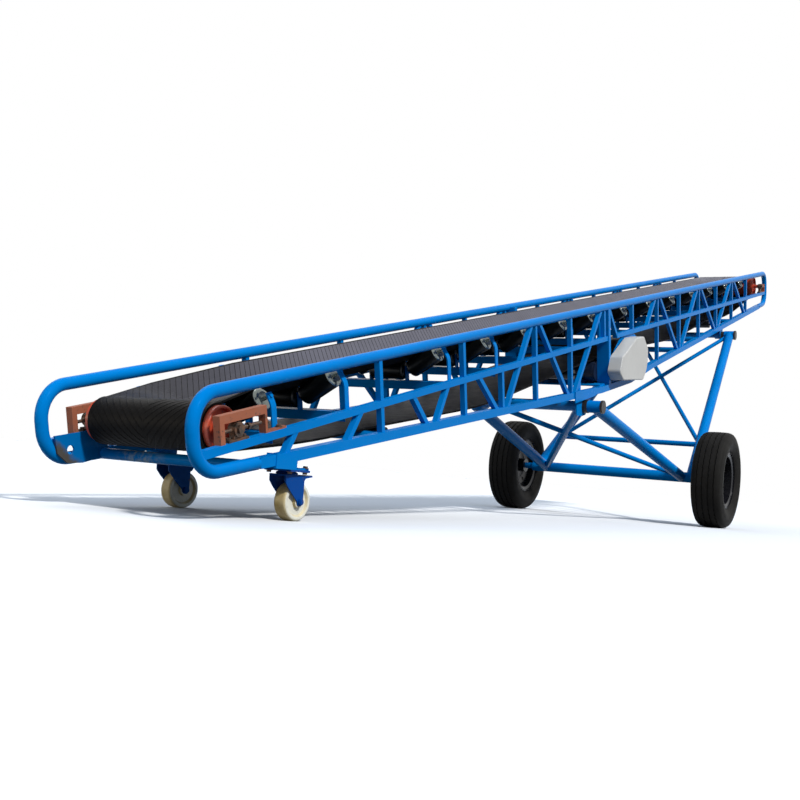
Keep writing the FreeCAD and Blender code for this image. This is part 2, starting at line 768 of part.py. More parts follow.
def frame_take_up(drum, shift):
    """Frames over the drum's bearings; the leg nearest the end of the belt is a full bar."""
    bar = val("take_up_bar")
    low = drum.w + 30 + 0.3
    parts = []
    for side, word in SIDES:
        def local(along, z, outwards=0):
            return TRUSS.multiply(at(drum.u + drum.towards * (shift + along),
                                     side * (TAKE_UP_Y + outwards), z))
        name = "TakeUp_%s_%s" % (drum.word, word)
        tall = "%.3f" % (low - MID_TOP)
        rise = (low + MID_TOP) / 2
        parts.append(fused(name, [
            box(name + "_top", local(0, low + bar / 2), "262", "take_up_bar", "take_up_bar"),
            box(name + "_leg", local(-119, rise), "24", "take_up_bar", tall),
            box(name + "_back", local(125, rise), "12", "take_up_bar", tall),
            box(name + "_foot", local(181, MID_TOP + 4, 4), "124", "22", "8")]))
    publish(drum.word + "_take_up", group("TakeUp_" + drum.word, parts))


def screw_take_up(drum):
    """Bars that hold the bearings from the end of the truss, each on its end plate."""
    parts = []
    for side, word in SIDES:
        name = "TakeUp_%s_%s" % (drum.word, word)
        top = drum.w + val("take_up_bar / 2")

        def local(along, z):
            return TRUSS.multiply(at(drum.u - drum.towards * along, side * TAKE_UP_Y, z))
        parts.append(fused(name, [
            box(name + "_bar", local(88, drum.w), "124", "take_up_bar", "take_up_bar"),
            box(name + "_plate", local(148, (top + MID_TOP) / 2), "10", "take_up_bar + 10",
                "%.3f" % (top - MID_TOP)),
            box(name + "_foot", local(112, MID_TOP + 4), "72", "take_up_bar", "8")]))
    publish(drum.word + "_take_up", group("TakeUp_" + drum.word, parts))


def bearing(drum):
    """Round bearing housings on short pedestals, bored for the drum shaft."""
    parts = []
    for side, word in SIDES:
        name = "Bearing_%s_%s" % (drum.word, word)

        def across(inner, outer, diameter, suffix):
            return rod(name + suffix, Vector(drum.u, side * (TAKE_UP_Y + inner), drum.w),
                       Vector(drum.u, side * (TAKE_UP_Y + outer), drum.w), diameter, TRUSS)
        pedestal = box(name + "_pedestal", TRUSS.multiply(
            at(drum.u, side * TAKE_UP_Y, (MID_TOP + drum.w) / 2)), "46", "20",
            "%.3f" % (drum.w - MID_TOP))
        sole = box(name + "_sole", TRUSS.multiply(at(drum.u, side * TAKE_UP_Y, MID_TOP + 4)),
                   "110", "take_up_bar", "8")
        solid = fused(name + "_body", [
            pedestal, sole, across(-14, 14, "50", "_housing"), across(-18, 18, "42", "_cap")])
        parts.append(trimmed(name, solid, [
            across(-30, 30, "(drum_shaft + 2 * running_fit)", "_bore")]))
    return parts


end_drum(TAIL)
end_drum(HEAD)
frame_take_up(TAIL, 32)
screw_take_up(HEAD)
publish("drum_bearings", group("Bearings", bearing(TAIL) + bearing(HEAD)))

DRIVE_U, DRIVE_W = -val("drive_back"), -val("drive_drop")
SNUBS = [DRIVE_U - val("snub_reach"), DRIVE_U + val("snub_reach")]
SNUB_W = -val("snub_drop")
TAIL_RETURN = TAIL.u + 1090
RETURNS = [(TAIL_RETURN, chord_w(TAIL_RETURN) - 6.5), (SNUBS[0] - 583, -385.0),
           (HEAD.u - 1865, -360.0)]


def return_rollers():
    body, shaft = "return_od / 2", "shaft_od / 2"
    wide = "belt_width / 2 + 25"
    hang = "rail_spacing / 2 - chord_bar / 2 - strap_thick"
    roller = turned("ReturnRoller", Placement(), stepped((
        ("-(%s)" % hang, shaft), ("-(%s)" % wide, body), (wide, shaft), (hang, shaft))))
    publish("return_rollers", copies("ReturnRollers", roller, [
        TRUSS.multiply(at(u, 0, w, Z_AXIS, 90)) for u, w in RETURNS]))
    hangers = []
    for index, (u, w) in enumerate(RETURNS):
        for side, word in SIDES:
            low = chord_w(u) - val("chord_bar / 2")
            high = w + 20
            y = side * (CHORD_INNER - val("strap_thick / 2"))
            place = TRUSS.multiply(at(u, y, (low + high) / 2))
            hangers.append(box("Hanger_%d_%s" % (index, word), place, "40", "strap_thick",
                               "%.3f" % (high - low)))
    publish("return_hangers", group("Hangers", hangers))


def drive_train():
    drum = stepped((("-(rail_spacing / 2 - plate_thick / 2 - seat_gap)", "22"), ("-(belt_width / 2 + 15)", "drive_od / 2"),
                    ("belt_width / 2 + 15", "22"), ("rail_spacing / 2 - plate_thick / 2 - seat_gap", "22")))
    publish("drive_drum", turned("DriveDrum", TRUSS.multiply(
        at(DRIVE_U, 0, DRIVE_W, Z_AXIS, 90)), drum))
    snub = turned("SnubRoller", Placement(), stepped((
        ("-(rail_spacing / 2 - plate_thick / 2 - seat_gap)", "14"), ("-(belt_width / 2 + 15)", "snub_od / 2"),
        ("belt_width / 2 + 15", "14"), ("rail_spacing / 2 - plate_thick / 2 - seat_gap", "14"))))
    publish("snub_rollers", copies("SnubRollers", snub, [
        TRUSS.multiply(at(u, 0, SNUB_W, Z_AXIS, 90)) for u in SNUBS]))
    # side plates that carry the drum and snub shafts, between the chords
    left, right = SNUBS[0] - 30, SNUBS[1] + 60
    seat = val("chord_bar / 2 + seat_gap")
    top = MID_W - val("mid_bar / 2 + seat_gap")
    outline = ((left, chord_w(left) + seat), (-val("belly_mid"), -val("belly_mid_drop") + seat),
               (right, chord_w(right) + seat), (right, -330), (DRIVE_U + 130, top),
               (DRIVE_U - 130, top), (left, -330))
    corners = [("%.3f" % u, "%.3f" % w) for u, w in outline]
    plates = [padded("DrivePlate_" + word, TRUSS.multiply(at(0, side * HALF, 0)), "XZ_Plane",
                     "plate_thick", corners) for side, word in SIDES]
    publish("drive_plates", group("DrivePlates", plates))


return_rollers()
drive_train()


TROUGH_W = CENTRE_W + ROLLER_R + val("seat_gap")
TROUGH_END = IDLERS[-1] + 35


def on_drum(drum, radius):
    """Where the troughed strand meets an end drum, at a distance from its axis.

    The strand runs straight from the drum down to the flat of the nearest trough.
    """
    reach = abs((IDLERS[0] if drum is TAIL else TROUGH_END) - drum.u)
    fall = TROUGH_W - drum.w
    grip = drum.radius + val("seat_gap")
    angle = math.atan2(fall, reach) + math.acos(grip / math.hypot(reach, fall))
    return Vector(drum.u + drum.towards * radius * math.cos(angle), 0,
                  drum.w + radius * math.sin(angle))


def belt_face_line(inner):
    """One face of the belt from the head drum's top, underneath, to the tail drum's top.

    It is a list of straight runs and arcs, tangent to each drum and roller.  The belt
    hangs under the drums, which touch its inner face, and runs over the rollers, which
    touch the other.
    """
    thick, gap = val("belt_thick"), val("seat_gap")
    under = gap + (0.0 if inner else thick)
    over = gap + (thick if inner else 0.0)
    wheels = []

    def hang(centre, radius):
        wheels.append((centre, radius + under, -1))

    def rest(centre, radius):
        wheels.append((centre, radius + over, 1))

    def sag(u, w, slope):
        reach = val("sag_radius")
        lean = math.atan(slope)
        hang((u - reach * math.sin(lean), w + reach * math.cos(lean)), reach)

    small, snub = val("return_od / 2"), val("snub_od / 2")
    hang((HEAD.u, HEAD.w), HEAD.radius)
    sag(HEAD.u - 1345, -335, 0.0)
    rest(RETURNS[2], small)
    sag((SNUBS[1] + RETURNS[2][0]) / 2, -375, 0.0)
    rest((SNUBS[1], SNUB_W), snub)
    hang((DRIVE_U, DRIVE_W), val("drive_od / 2"))
    rest((SNUBS[0], SNUB_W), snub)
    rest(RETURNS[1], small)
    sag((RETURNS[0][0] + RETURNS[1][0]) / 2, -382, 0.0)
    rest(RETURNS[0], small)
    sag(TAIL.u + 690, TAIL.w - 151, -0.06)
    hang((TAIL.u, TAIL.w), TAIL.radius)
    edges = []
    arrive = on_drum(HEAD, HEAD.radius + under)
    for index, ((here, radius, sense), (after, after_radius, after_sense)) in enumerate(
            zip(wheels, wheels[1:])):
        centre, target = Vector(here[0], 0, here[1]), Vector(after[0], 0, after[1])
        across = target - centre
        lean = math.asin((sense * radius - after_sense * after_radius) / across.Length)
        heading = math.atan2(across.z, across.x) + lean
        normal = Vector(-math.sin(heading), 0, math.cos(heading))
        leave = centre - normal * (sense * radius)
        middle = arrive + leave - centre * 2
        if index == 0:
            middle = Vector(1, 0, 0)
        middle.normalize()
        edges.append(Part.Arc(arrive, centre + middle * radius, leave).toShape())
        arrive = target - normal * (after_sense * after_radius)
        edges.append(Part.LineSegment(leave, arrive).toShape())
    wrap = TAIL.radius + under
    edges.append(Part.Arc(arrive, Vector(TAIL.u - wrap, 0, TAIL.w),
                          on_drum(TAIL, wrap)).toShape())
    return edges


def trough_section(wing, u):
    """Cross section of the carrying strand: a flat middle and two wings."""
    thick = val("belt_thick")
    wing_long = val("belt_width / 2") - wing.flat
    edge = (wing.flat + wing_long * wing.cos, TROUGH_W + wing_long * wing.sin)
    fold = thick * math.tan(math.radians(wing.angle) / 2)
    half_outline = [(wing.flat, TROUGH_W), edge,
                    (edge[0] - thick * wing.sin, edge[1] + thick * wing.cos),
                    (wing.flat - fold, TROUGH_W + thick)]
    outline = half_outline + [(-y, w) for y, w in reversed(half_outline)]
    points = [Vector(u, y, w) for y, w in outline]
    return Part.makePolygon(points + points[:1])


def drum_section(drum, flat):
    """The same section lying level on a drum; flat is where its middle part ends."""
    near_face = on_drum(drum, drum.radius + val("seat_gap"))
    far_face = on_drum(drum, drum.radius + val("seat_gap + belt_thick"))
    half = val("belt_width / 2")
    half_outline = [(flat, near_face), (half, near_face), (half, far_face), (flat, far_face)]
    outline = half_outline + [(-y, face) for y, face in reversed(half_outline)]
    points = [Vector(face.x, y, face.z) for y, face in outline]
    return Part.makePolygon(points + points[:1])


def belt():
    """The return strand and both wraps as one ribbon, joined to the troughed strand."""
    inner, outer = belt_face_line(True), belt_face_line(False)
    ends = [Part.LineSegment(inner[0].Vertexes[0].Point, outer[0].Vertexes[0].Point).toShape(),
            Part.LineSegment(inner[-1].Vertexes[-1].Point, outer[-1].Vertexes[-1].Point).toShape()]
    outline = doc.addObject("Part::Feature", "BeltOutline")
    outline.Shape = Part.Face(Part.Wire(Part.__sortEdges__(inner + outer + ends)))
    ribbon = doc.addObject("Part::Extrusion", "BeltRibbon")
    ribbon.Base = outline
    ribbon.DirMode = "Custom"
    ribbon.Dir = Y_AXIS
    ribbon.setExpression("LengthFwd", full("belt_width"))
    ribbon.Symmetric = True
    ribbon.Solid = True
    strand = doc.addObject("Part::Feature", "BeltStrand")
    strand.Shape = Part.makeLoft([
        drum_section(TAIL, ENTRY.flat), trough_section(ENTRY, IDLERS[0]),
        trough_section(TROUGH, IDLERS[1]), trough_section(TROUGH, TROUGH_END),
        drum_section(HEAD, TROUGH.flat)], True, True)
    whole = fused("Belt", [ribbon, strand])
    whole.Placement = TRUSS
    publish("belt", whole)


belt()

# ---------------------------------------------------------------- drive guard and motor
COVER_OUTLINE = ((-1048, 1240), (-894, 1273), (-783, 1202), (-775, 1113), (-795, 1048),
                 (-849, 979), (-1271, 928), (-1353, 967), (-1315, 1076))


def chain_cover():
    depth = "cover_deep"
    """A folded sheet case, rounded at its corners and round its outer rim."""
    y = -(HALF + val("chord_bar / 2") + val("cover_deep / 2"))
    corners = [(str(x), str(z)) for x, z in COVER_OUTLINE]
    cover = padded("ChainCover", GROUND.multiply(at(0, y, 0)), "XZ_Plane", depth, corners)
    doc.recompute()
    outside = -val("cover_deep / 2")
    across = [edge for edge in cover.Shape.Edges
              if abs(edge.tangentAt(edge.FirstParameter).y) > 0.99]
    rounded(cover, "Corners", "cover_corner", lambda edge: any(
        edge.CenterOfMass.distanceToPoint(other.CenterOfMass) < 0.1 for other in across))
    rounded(cover, "Rim", "cover_rim", lambda edge: abs(
        cover.Placement.inverse().multVec(edge.CenterOfMass).y - outside) < 0.1)
    publish("chain_cover", cover)


def motor():
    """Geared motor across the truss under the return belt, on a plate with a saddle."""
    u, w = -val("motor_back"), -val("motor_drop")
    body_end = -HALF + 62
    body = turned("Motor", TRUSS.multiply(at(u, 0, w, Z_AXIS, 90)), stepped((
        ("%.3f" % body_end, "motor_od / 2 - 6"), ("%.3f + 12" % body_end, "motor_od / 2"),
        ("%.3f + 60" % body_end, "motor_od / 2 - 8"),
        ("%.3f + motor_long - 50" % body_end, "motor_od / 2 - 2"),
        ("%.3f + motor_long" % body_end, "0"))))
    output_u = u + val("motor_offset")
    case = box("MotorCase", TRUSS.multiply(at(u + val("motor_offset / 2"), body_end + 28, w)),
               "motor_offset + 50", "50", "motor_od - 20")
    boss = rod("MotorBoss", Vector(output_u, body_end + 20, w),
               Vector(output_u, -HALF - val("chord_bar / 2 - seat_gap"), w), "50", TRUSS)
    machine = publish("drive_motor", fused("MotorBody", [body, case, boss]))
    plate_w = chord_w(u) + val("chord_bar / 2") + 4.6
    plate = box("MotorPlate", TRUSS.multiply(at(u, 0, plate_w)), "200", "rail_spacing - 16", "8")
    saddle = box("MotorSaddle", TRUSS.multiply(at(u, body_end + 170, plate_w + 20)), "110", "150",
                 "40")
    saddle_cut = trimmed("MotorSaddleCut", saddle, [machine])
    whole = fused("MotorBase", [plate, saddle_cut])
    carriers = [nodes["drive_uprights"], nodes["bottom_chord_near"], nodes["bottom_chord_far"]]
    publish("motor_base", trimmed("MotorBaseTrim", whole, carriers))


chain_cover()
motor()

# ---------------------------------------------------------------- wheeled frame
LOWER_X, LOWER_Z = level(-val("lower_back"), -val("lower_drop"))
UPPER_X, UPPER_Z = level(val("upper_ahead"), -val("upper_drop"))
AXLE_Z = val("tyre_od / 2")
NODE_Y = val("node_track / 2")
UPPER_NODE_Y = val("upper_node_track / 2")
GAP = val("seat_gap")
LUG_INNER, LUG_OUTER = HALF - val("plate_thick / 2"), HALF + val("plate_thick / 2")
SLEEVE_Y = val("sleeve_start + sleeve_long / 2")
CAP_Y = val("sleeve_start + sleeve_long") + GAP
COLLAR_Y = LUG_INNER - GAP


def pivots():
    """Pivot shafts right across the truss: thick tube, collars, journals and end caps."""
    for label, name, x, z, tube, collar in (
            ("lower_pivot", "LowerPivot", LOWER_X, LOWER_Z, "32", "41"),
            ("upper_pivot", "UpperPivot", UPPER_X, UPPER_Z, "24", "34")):
        shaft, cap = "pivot_od / 2", "leg_od / 2 + 3"
        stations = ((COLLAR_Y - 44, collar), (COLLAR_Y, shaft), (LUG_OUTER + GAP, collar),
                    (val("sleeve_start") - GAP, shaft), (CAP_Y, cap))
        end = "%.3f + cap_long" % CAP_Y
        half = [("%.3f" % y, size) for y, size in stations]
        # the far half mirrors the near one, so its radii run one place back
        inner_radii = [tube] + [size for _, size in half[:-1]]
        mirrored = [("-" + y, radius) for (y, _), radius in zip(half, inner_radii)]
        outline = stepped([("-(%s)" % end, cap)] + mirrored[::-1] + half + [(end, cap)])
        publish(label, turned(name, GROUND.multiply(at(x, 0, z, Z_AXIS, 90)), outline))


def lugs():
    """Gusset plates under the bottom chords, one pair for each pivot."""
    bore = "pivot_od / 2 + running_fit"

    def seat(u):
        return "%.3f" % u, "%.3f" % (chord_w(u) - val("chord_bar / 2 + seat_gap"))

    back, ahead = -val("lower_back"), val("upper_ahead")
    lower = (seat(back - 126), ("-lower_back - 128", "-lower_drop - 36"),
             ("-lower_back - 72", "-lower_drop - 50"), ("-lower_back - 26", "-lower_drop - 56"),
             ("-lower_back + 26", "-lower_drop - 56"), ("-lower_back + 52", "-lower_drop - 22"),
             ("-lower_back + 110", "-lower_drop + 20"), seat(back + 160))
    upper = (seat(ahead - 60), ("upper_ahead - 42", "-upper_drop - 12"),
             ("upper_ahead - 24", "-upper_drop - 40"), ("upper_ahead + 24", "-upper_drop - 40"),
             ("upper_ahead + 42", "-upper_drop - 12"), seat(ahead + 60))
    for label, outline, hole in (
            ("lower_lugs", lower, (bore, "-lower_back", "-lower_drop")),
            ("upper_lugs", upper, (bore, "upper_ahead", "-upper_drop"))):
        plates = [padded("%s_%s" % (label, word), TRUSS.multiply(at(0, side * HALF, 0)),
                         "XZ_Plane", "plate_thick", outline, [hole]) for side, word in SIDES]
        if label == "lower_lugs":
            # a lap plate on the outer face of the chord takes the load up to its top edge
            def top(u, above):
                return "%.3f" % u, "%.3f" % (chord_w(u) + above)
            lap = (top(back - 200, 24), ("-lower_back - 202", "-lower_drop + 50"),
                   ("-lower_back + 150", "-lower_drop + 46"),
                   ("-lower_back + 190", "-lower_drop + 58"),
                   ("-lower_back + 208", "-lower_drop + 76"), top(back + 160, 26))
            out = HALF + val("chord_bar / 2 + seat_gap + lap_thick / 2")
            plates += [padded("LapPlate_" + word, TRUSS.multiply(at(0, side * out, 0)),
                              "XZ_Plane", "lap_thick", lap) for side, word in SIDES]
        publish(label, group(label + "_pair", plates))


def axle_beam():
    """Tube between the wheels with a stepped spindle at each end."""
    tube_end = "wheel_track / 2 - tyre_wide / 2 - 30"
    spindle = "spindle_od / 2"
    outer = "wheel_track / 2 + 30"
    outline = stepped((("-(%s)" % outer, spindle), ("-(%s)" % tube_end, "leg_od / 2"),
                       (tube_end, spindle), (outer, spindle)))
    return publish("axle_beam", turned("AxleBeam", GROUND.multiply(at(0, 0, AXLE_Z, Z_AXIS, 90)),
                                       outline))


def sleeve(name, x, z, side):
    start = Vector(x, side * (SLEEVE_Y - val("sleeve_long / 2")), z)
    end = Vector(x, side * (SLEEVE_Y + val("sleeve_long / 2")), z)
    return rod(name, start, end, "leg_od")


def bore(name, x, z, side):
    start = Vector(x, side * (SLEEVE_Y - val("sleeve_long")), z)
    end = Vector(x, side * (SLEEVE_Y + val("sleeve_long")), z)
    return rod(name, start, end, "(pivot_od + 2 * running_fit)")


def legs(beam):
    made = {}
    for side, word in SIDES:
        foot = Vector(0, side * NODE_Y, AXLE_Z)
        lower_end = Vector(LOWER_X, side * SLEEVE_Y, LOWER_Z)
        upper_end = Vector(UPPER_X, side * SLEEVE_Y, UPPER_Z)
        lower = fused("LowerLegBar_" + word, [
            rod("LowerTube_" + word, foot, lower_end, "leg_od"),
            sleeve("LowerSleeve_" + word, LOWER_X, LOWER_Z, side)])
        lower_leg = publish("lower_leg_" + word, trimmed("LowerLeg_" + word, lower, [
            beam, bore("LowerBore_" + word, LOWER_X, LOWER_Z, side)]))
        upper_foot = Vector(0, side * UPPER_NODE_Y, AXLE_Z)
        upper = fused("UpperLegBar_" + word, [
            rod("UpperTube_" + word, upper_foot, upper_end, "leg_od"),
            sleeve("UpperSleeve_" + word, UPPER_X, UPPER_Z, side)])
        upper_leg = publish("upper_leg_" + word, trimmed("UpperLeg_" + word, upper, [
            beam, lower_leg, bore("UpperBore_" + word, UPPER_X, UPPER_Z, side)]))
        made[word] = (lower_leg, upper_leg, foot, upper_foot, upper_end)
    return made


def braces(beam, made):
    near_lower, near_upper, near_foot, near_upper_foot, near_top = made["near"]
    far_lower, far_upper, far_foot, far_upper_foot, far_top = made["far"]
    solids = [beam, near_lower, far_lower, near_upper, far_upper]
    # between the lower legs: a main diagonal and a light one crossing it
    low_near = Vector(LOWER_X, NEAR * (COLLAR_Y - 22), LOWER_Z)
    low_far = Vector(LOWER_X, FAR * (COLLAR_Y - 22), LOWER_Z)
    ends = solids + [nodes["lower_pivot"], nodes["lower_lugs"]]
    main = trimmed("MainDiagonal", rod("MainDiagonalBar", far_foot, low_near, "main_brace_od"),
                   ends)
    light = trimmed("LightDiagonal", rod("LightDiagonalBar", near_foot, low_far, "brace_od"),
                    ends + [main])
    publish("front_braces", group("FrontBraces", [main, light]))
    # between the upper legs: a level tie and two light diagonals above it
    share = val("tie_share")
    near_tie = near_upper_foot + (near_top - near_upper_foot) * share
    far_tie = far_upper_foot + (far_top - far_upper_foot) * share
    tie = trimmed("TieTrim", rod("Tie", near_tie, far_tie, "tie_od"), solids)
    first = trimmed("RearFirst", rod("RearFirstBar", near_top, far_tie, "brace_od"),
                    solids + [tie, nodes["upper_pivot"], nodes["upper_lugs"]])
    second = trimmed("RearSecond", rod("RearSecondBar", far_top, near_tie, "brace_od"),
                     solids + [tie, first, nodes["upper_pivot"], nodes["upper_lugs"]])
    publish("rear_braces", group("RearBraces", [tie, first, second]))


pivots()
lugs()
beam = axle_beam()
braces(beam, legs(beam))


# ---------------------------------------------------------------- road wheels
def road_wheel(side, word):
    """Dished steel wheel with its hub, and its tyre; X of the piece points outwards."""
    place = GROUND.multiply(at(0, side * val("wheel_track / 2"), AXLE_Z, Z_AXIS, side * 90))
    rim_r, flange, bead = "rim_od / 2", "rim_wide / 2", "rim_od / 2 + 10"
    drop, well, under = "rim_od / 2 - 14", "rim_od / 2 - 22", "rim_od / 2 - 28"
    hub_bore = "spindle_od / 2 + running_fit"
    rim_outline = (
        ("-75", hub_bore), ("-75", "52"), ("-18", "52"), ("-18", "104"), ("-30", "150"),
        ("-30", under), ("16 - " + flange, well), ("8 - " + flange, rim_r),
        ("-" + flange, rim_r), ("4 - " + flange, bead), ("12 - " + flange, bead),
        ("20 - " + flange, drop), (flange + " - 20", drop), (flange + " - 12", bead),
        (flange + " - 4", bead), (flange, rim_r), (flange + " - 8", rim_r),
        (flange + " - 16", well), ("-18", under), ("-18", "150"), ("-6", "104"),
        ("-6", "52"), ("22", "52"), ("28", "46"), ("44", "46"), ("44", "36"), ("34", "36"),
        ("34", hub_bore))
    rim = turned("Rim_" + word, place, rim_outline)
    holes = new_sketch(rim, "YZ_Plane")
    draw_circle(holes, "hand_hole / 2", "rim_od / 2 - 69", "0")
    pocket = rim.newObject("PartDesign::Pocket", "HandHole_" + word)
    pocket.Profile = holes
    pocket.Type = "ThroughAll"
    pocket.Midplane = True
    pattern = rim.newObject("PartDesign::PolarPattern", "HandHoles_" + word)
    pattern.Originals = [pocket]
    pattern.Axis = (holes, ["N_Axis"])
    pattern.Angle = 360
    pattern.Occurrences = 6
    rim.Tip = pattern
    holes.Visibility = False
    publish("rim_" + word, rim)

    wide, tread, seat = "tyre_wide / 2", "tyre_od / 2", "rim_od / 2 + 10.3"
    # one side of the tyre, from the bead out to the middle of the tread
    side_outline = (
        ("%s - 20.3" % flange, "rim_od / 2 - 13.7"), ("%s - 12.3" % flange, seat),
        ("%s - 3.7" % flange, seat), ("%s - 9" % wide, "rim_od / 2 + 34"),
        ("%s - 2" % wide, "rim_od / 2 + 60"), (wide, "rim_od / 2 + 88"),
        ("%s - 2" % wide, tread + " - 50"), ("%s - 8" % wide, tread + " - 28"),
        ("%s - 19" % wide, tread + " - 12"), ("%s - 34" % wide, tread + " - 5"),
        ("%s - 62" % wide, tread + " - 1"))
    mirrored = [("-(%s)" % x, y) for x, y in side_outline]
    publish("tyre_" + word, turned(
        "Tyre_" + word, place, mirrored[:1] + list(side_outline) + [("0", tread)] + mirrored[:0:-1]))


for side, word in SIDES:
    road_wheel(side, word)


# ---------------------------------------------------------------- castors
def castor_wheel(word, own):
    """Nylon wheel with a crowned tread, a dished web and a longer hub."""
    trail, wheel_z = val("castor_trail"), val("castor_od / 2")
    half, hub_half, rim = "castor_wide / 2", "castor_wide / 2 + 5", "castor_od / 2"
    hub_bore = "castor_pin / 2 + running_fit"
    side_outline = (
        (hub_half, hub_bore), (hub_half, "22"), ("%s - 7" % half, "24"),
        ("%s - 9" % half, rim + " - 24"), ("%s - 1" % half, rim + " - 17"),
        (half, rim + " - 15"), (half, rim + " - 8"), ("%s - 2" % half, rim + " - 4"),
        ("%s - 6" % half, rim + " - 1"), ("%s - 11" % half, rim))
    mirrored = [("-(%s)" % x, y) for x, y in side_outline]
    place = own.multiply(at(trail, 0, wheel_z, Z_AXIS, 90))
    publish("castor_wheel_" + word, turned(
        "CastorWheel_" + word, place, mirrored + list(side_outline[::-1])))


def castor_fork(word, own):
    """Pressed fork under its swivel race, with the wheel bolt and a brake pedal."""
    trail, wheel_z = val("castor_trail"), val("castor_od / 2")
    crown_top = val("castor_plate_top - castor_plate") - 12
    cheek_y = val("castor_wide / 2") + 8.5
    crown = box("Crown_" + word, own.multiply(at(3, 0, crown_top - 3)), "110",
                "%.3f" % (2 * cheek_y + 5), "6")
    race = turned("Race_" + word, own.multiply(at(0, 0, crown_top - 1, Y_AXIS, -90)), (
        ("0", "0"), ("0", "36"), ("2", "41"), ("6", "43"), ("9", "41"), ("12.5", "33"),
        ("12.5", "0")))
    pin = rod("SwivelPin_" + word, Vector(0, 0, crown_top),
              Vector(0, 0, val("castor_plate_top") - 2), "castor_pin", own)
    pieces = [crown, race, pin]
    top = "%.3f" % (crown_top - 3)
    outline = (("-52", top), ("58", top), ("castor_trail + 16", "castor_od / 2 + 30"),
               ("castor_trail + 16", "castor_od / 2"), ("castor_trail - 16", "castor_od / 2"),
               ("-30", "castor_od / 2 + 52"), ("-50", "castor_od / 2 + 74"))
    for hand in (-1, 1):
        pieces.append(padded("Cheek_%s_%d" % (word, hand + 1), own.multiply(
            at(0, hand * cheek_y, 0)), "XZ_Plane", "5", outline))
        for inner, outer, size, part in ((-2.5, 2.5, "32", "Boss"), (2.5, 10, "24", "Head")):
            pieces.append(rod("%s_%s_%d" % (part, word, hand + 1),
                              Vector(trail, hand * (cheek_y + inner), wheel_z),
                              Vector(trail, hand * (cheek_y + outer), wheel_z), size, own))
    pieces.append(rod("Bolt_" + word, Vector(trail, -cheek_y - 12, wheel_z),
                      Vector(trail, cheek_y + 12, wheel_z), "castor_pin", own))
    lever = (("50", top), ("66", top), ("128", "%.3f" % (crown_top - 1)),
             ("130", "%.3f" % (crown_top - 5)), ("90", "%.3f" % (crown_top - 12)),
             ("84", "%.3f" % (crown_top - 22)), ("78", "%.3f" % (crown_top - 26)),
             ("74", "%.3f" % (crown_top - 14)), ("50", "%.3f" % (crown_top - 10)))
    pieces.append(padded("Pedal_" + word, own, "XZ_Plane", "40", lever))
    publish("castor_fork_" + word, fused("CastorFork_" + word, pieces))


def castor(side, word, turn, saddle_back):
    """Swivel castor under its plate, and the shelf and saddle that carry it."""
    angle = math.radians(val(turn))
    trail = val("castor_trail")
    swivel_x = -val("castor_ahead") - trail * math.cos(angle)
    swivel_y = side * val("castor_track / 2") + trail * math.sin(angle)
    # the castor's own frame: X trails towards the wheel, origin on the floor
    own = GROUND.multiply(at(swivel_x, swivel_y, 0, Z_AXIS, -math.degrees(angle)))
    castor_wheel(word, own)
    castor_fork(word, own)

    plate_top = val("castor_plate_top")
    thick = val("castor_plate")
    plate = box("CastorPlate_" + word, GROUND.multiply(
        at(swivel_x, swivel_y, plate_top - thick / 2)), "128", "124", "castor_plate")
    hole = rod("CastorHole_" + word, Vector(0, 0, plate_top - 20), Vector(0, 0, plate_top + 20),
               "(castor_pin + 2 * running_fit)", own)
    fixed = trimmed("CastorTop_" + word, plate, [hole])
    # the shelf reaches from the castor plate out to the saddle under the bottom chord
    out = side * (HALF + 24) - swivel_y
    step = out - side * 42
    saddle_ahead = val(saddle_back) - val("saddle_long / 2")
    shelf_back = max(val(saddle_back) + val("saddle_long / 2"), 72)
    shelf_outline = [(-shelf_back, out), (-saddle_ahead, out), (8 - saddle_ahead, step),
                     (64, step), (64, -side * 68), (-72, -side * 68), (-shelf_back, step)]
    corners = [("%.3f" % x, "%.3f" % y) for x, y in shelf_outline]
    shelf = padded("Shelf_" + word, GROUND.multiply(
        at(swivel_x, swivel_y, plate_top + thick / 2)), "XY_Plane", "castor_plate", corners)
    saddle_x = swivel_x - val(saddle_back)
    drop = chord_below_rails(saddle_x)
    tall = RAIL_HEIGHT + drop + 14 - plate_top - thick
    saddle = box("Saddle_" + word, GROUND.multiply(
        at(saddle_x, side * HALF, plate_top + thick + tall / 2)), "saddle_long", "chord_bar + 8",
        "%.3f" % tall)
    mount = trimmed("MountTrim_" + word, fused("MountBody_" + word, [shelf, saddle]),
                    [truss[word][1]])
    return fixed, mount


castor_parts = [castor(NEAR, "near", "castor_near_turn", "near_saddle_back"),
                castor(FAR, "far", "castor_far_turn", "far_saddle_back")]
publish("castor_plates", group("CastorPlates", [fixed for fixed, mount in castor_parts]))
publish("castor_mounts", group("CastorMounts", [mount for fixed, mount in castor_parts]))

# ---------------------------------------------------------------- check and write
doc.recompute()
for item in doc.Objects:
    if "Invalid" in item.State or "Error" in item.State:
        raise RuntimeError("%s (%s) did not compute" % (item.Name, item.Label))
for label, item in nodes.items():
    if item.Shape.isNull() or not item.Shape.isValid() or not item.Shape.Solids:
        raise RuntimeError("%s has no valid shape" % label)

os.makedirs("parts", exist_ok=True)
for label, item in nodes.items():
    item.Shape.exportStep("parts/%s.step" % label)
print("wrote %d parts" % len(nodes))
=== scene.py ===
"""Looks of a 9 m mobile belt conveyor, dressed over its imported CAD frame.

The file is laid out as an add-on: property groups hold the sizes and colours, each
operator makes one group of pieces, and main() runs them in order.  Lengths are in
metres, in the frame's own axes: +X towards the discharge end, +Z up.
"""
import bisect
import json
import math

import bmesh
import bpy
from mathutils import Matrix, Vector


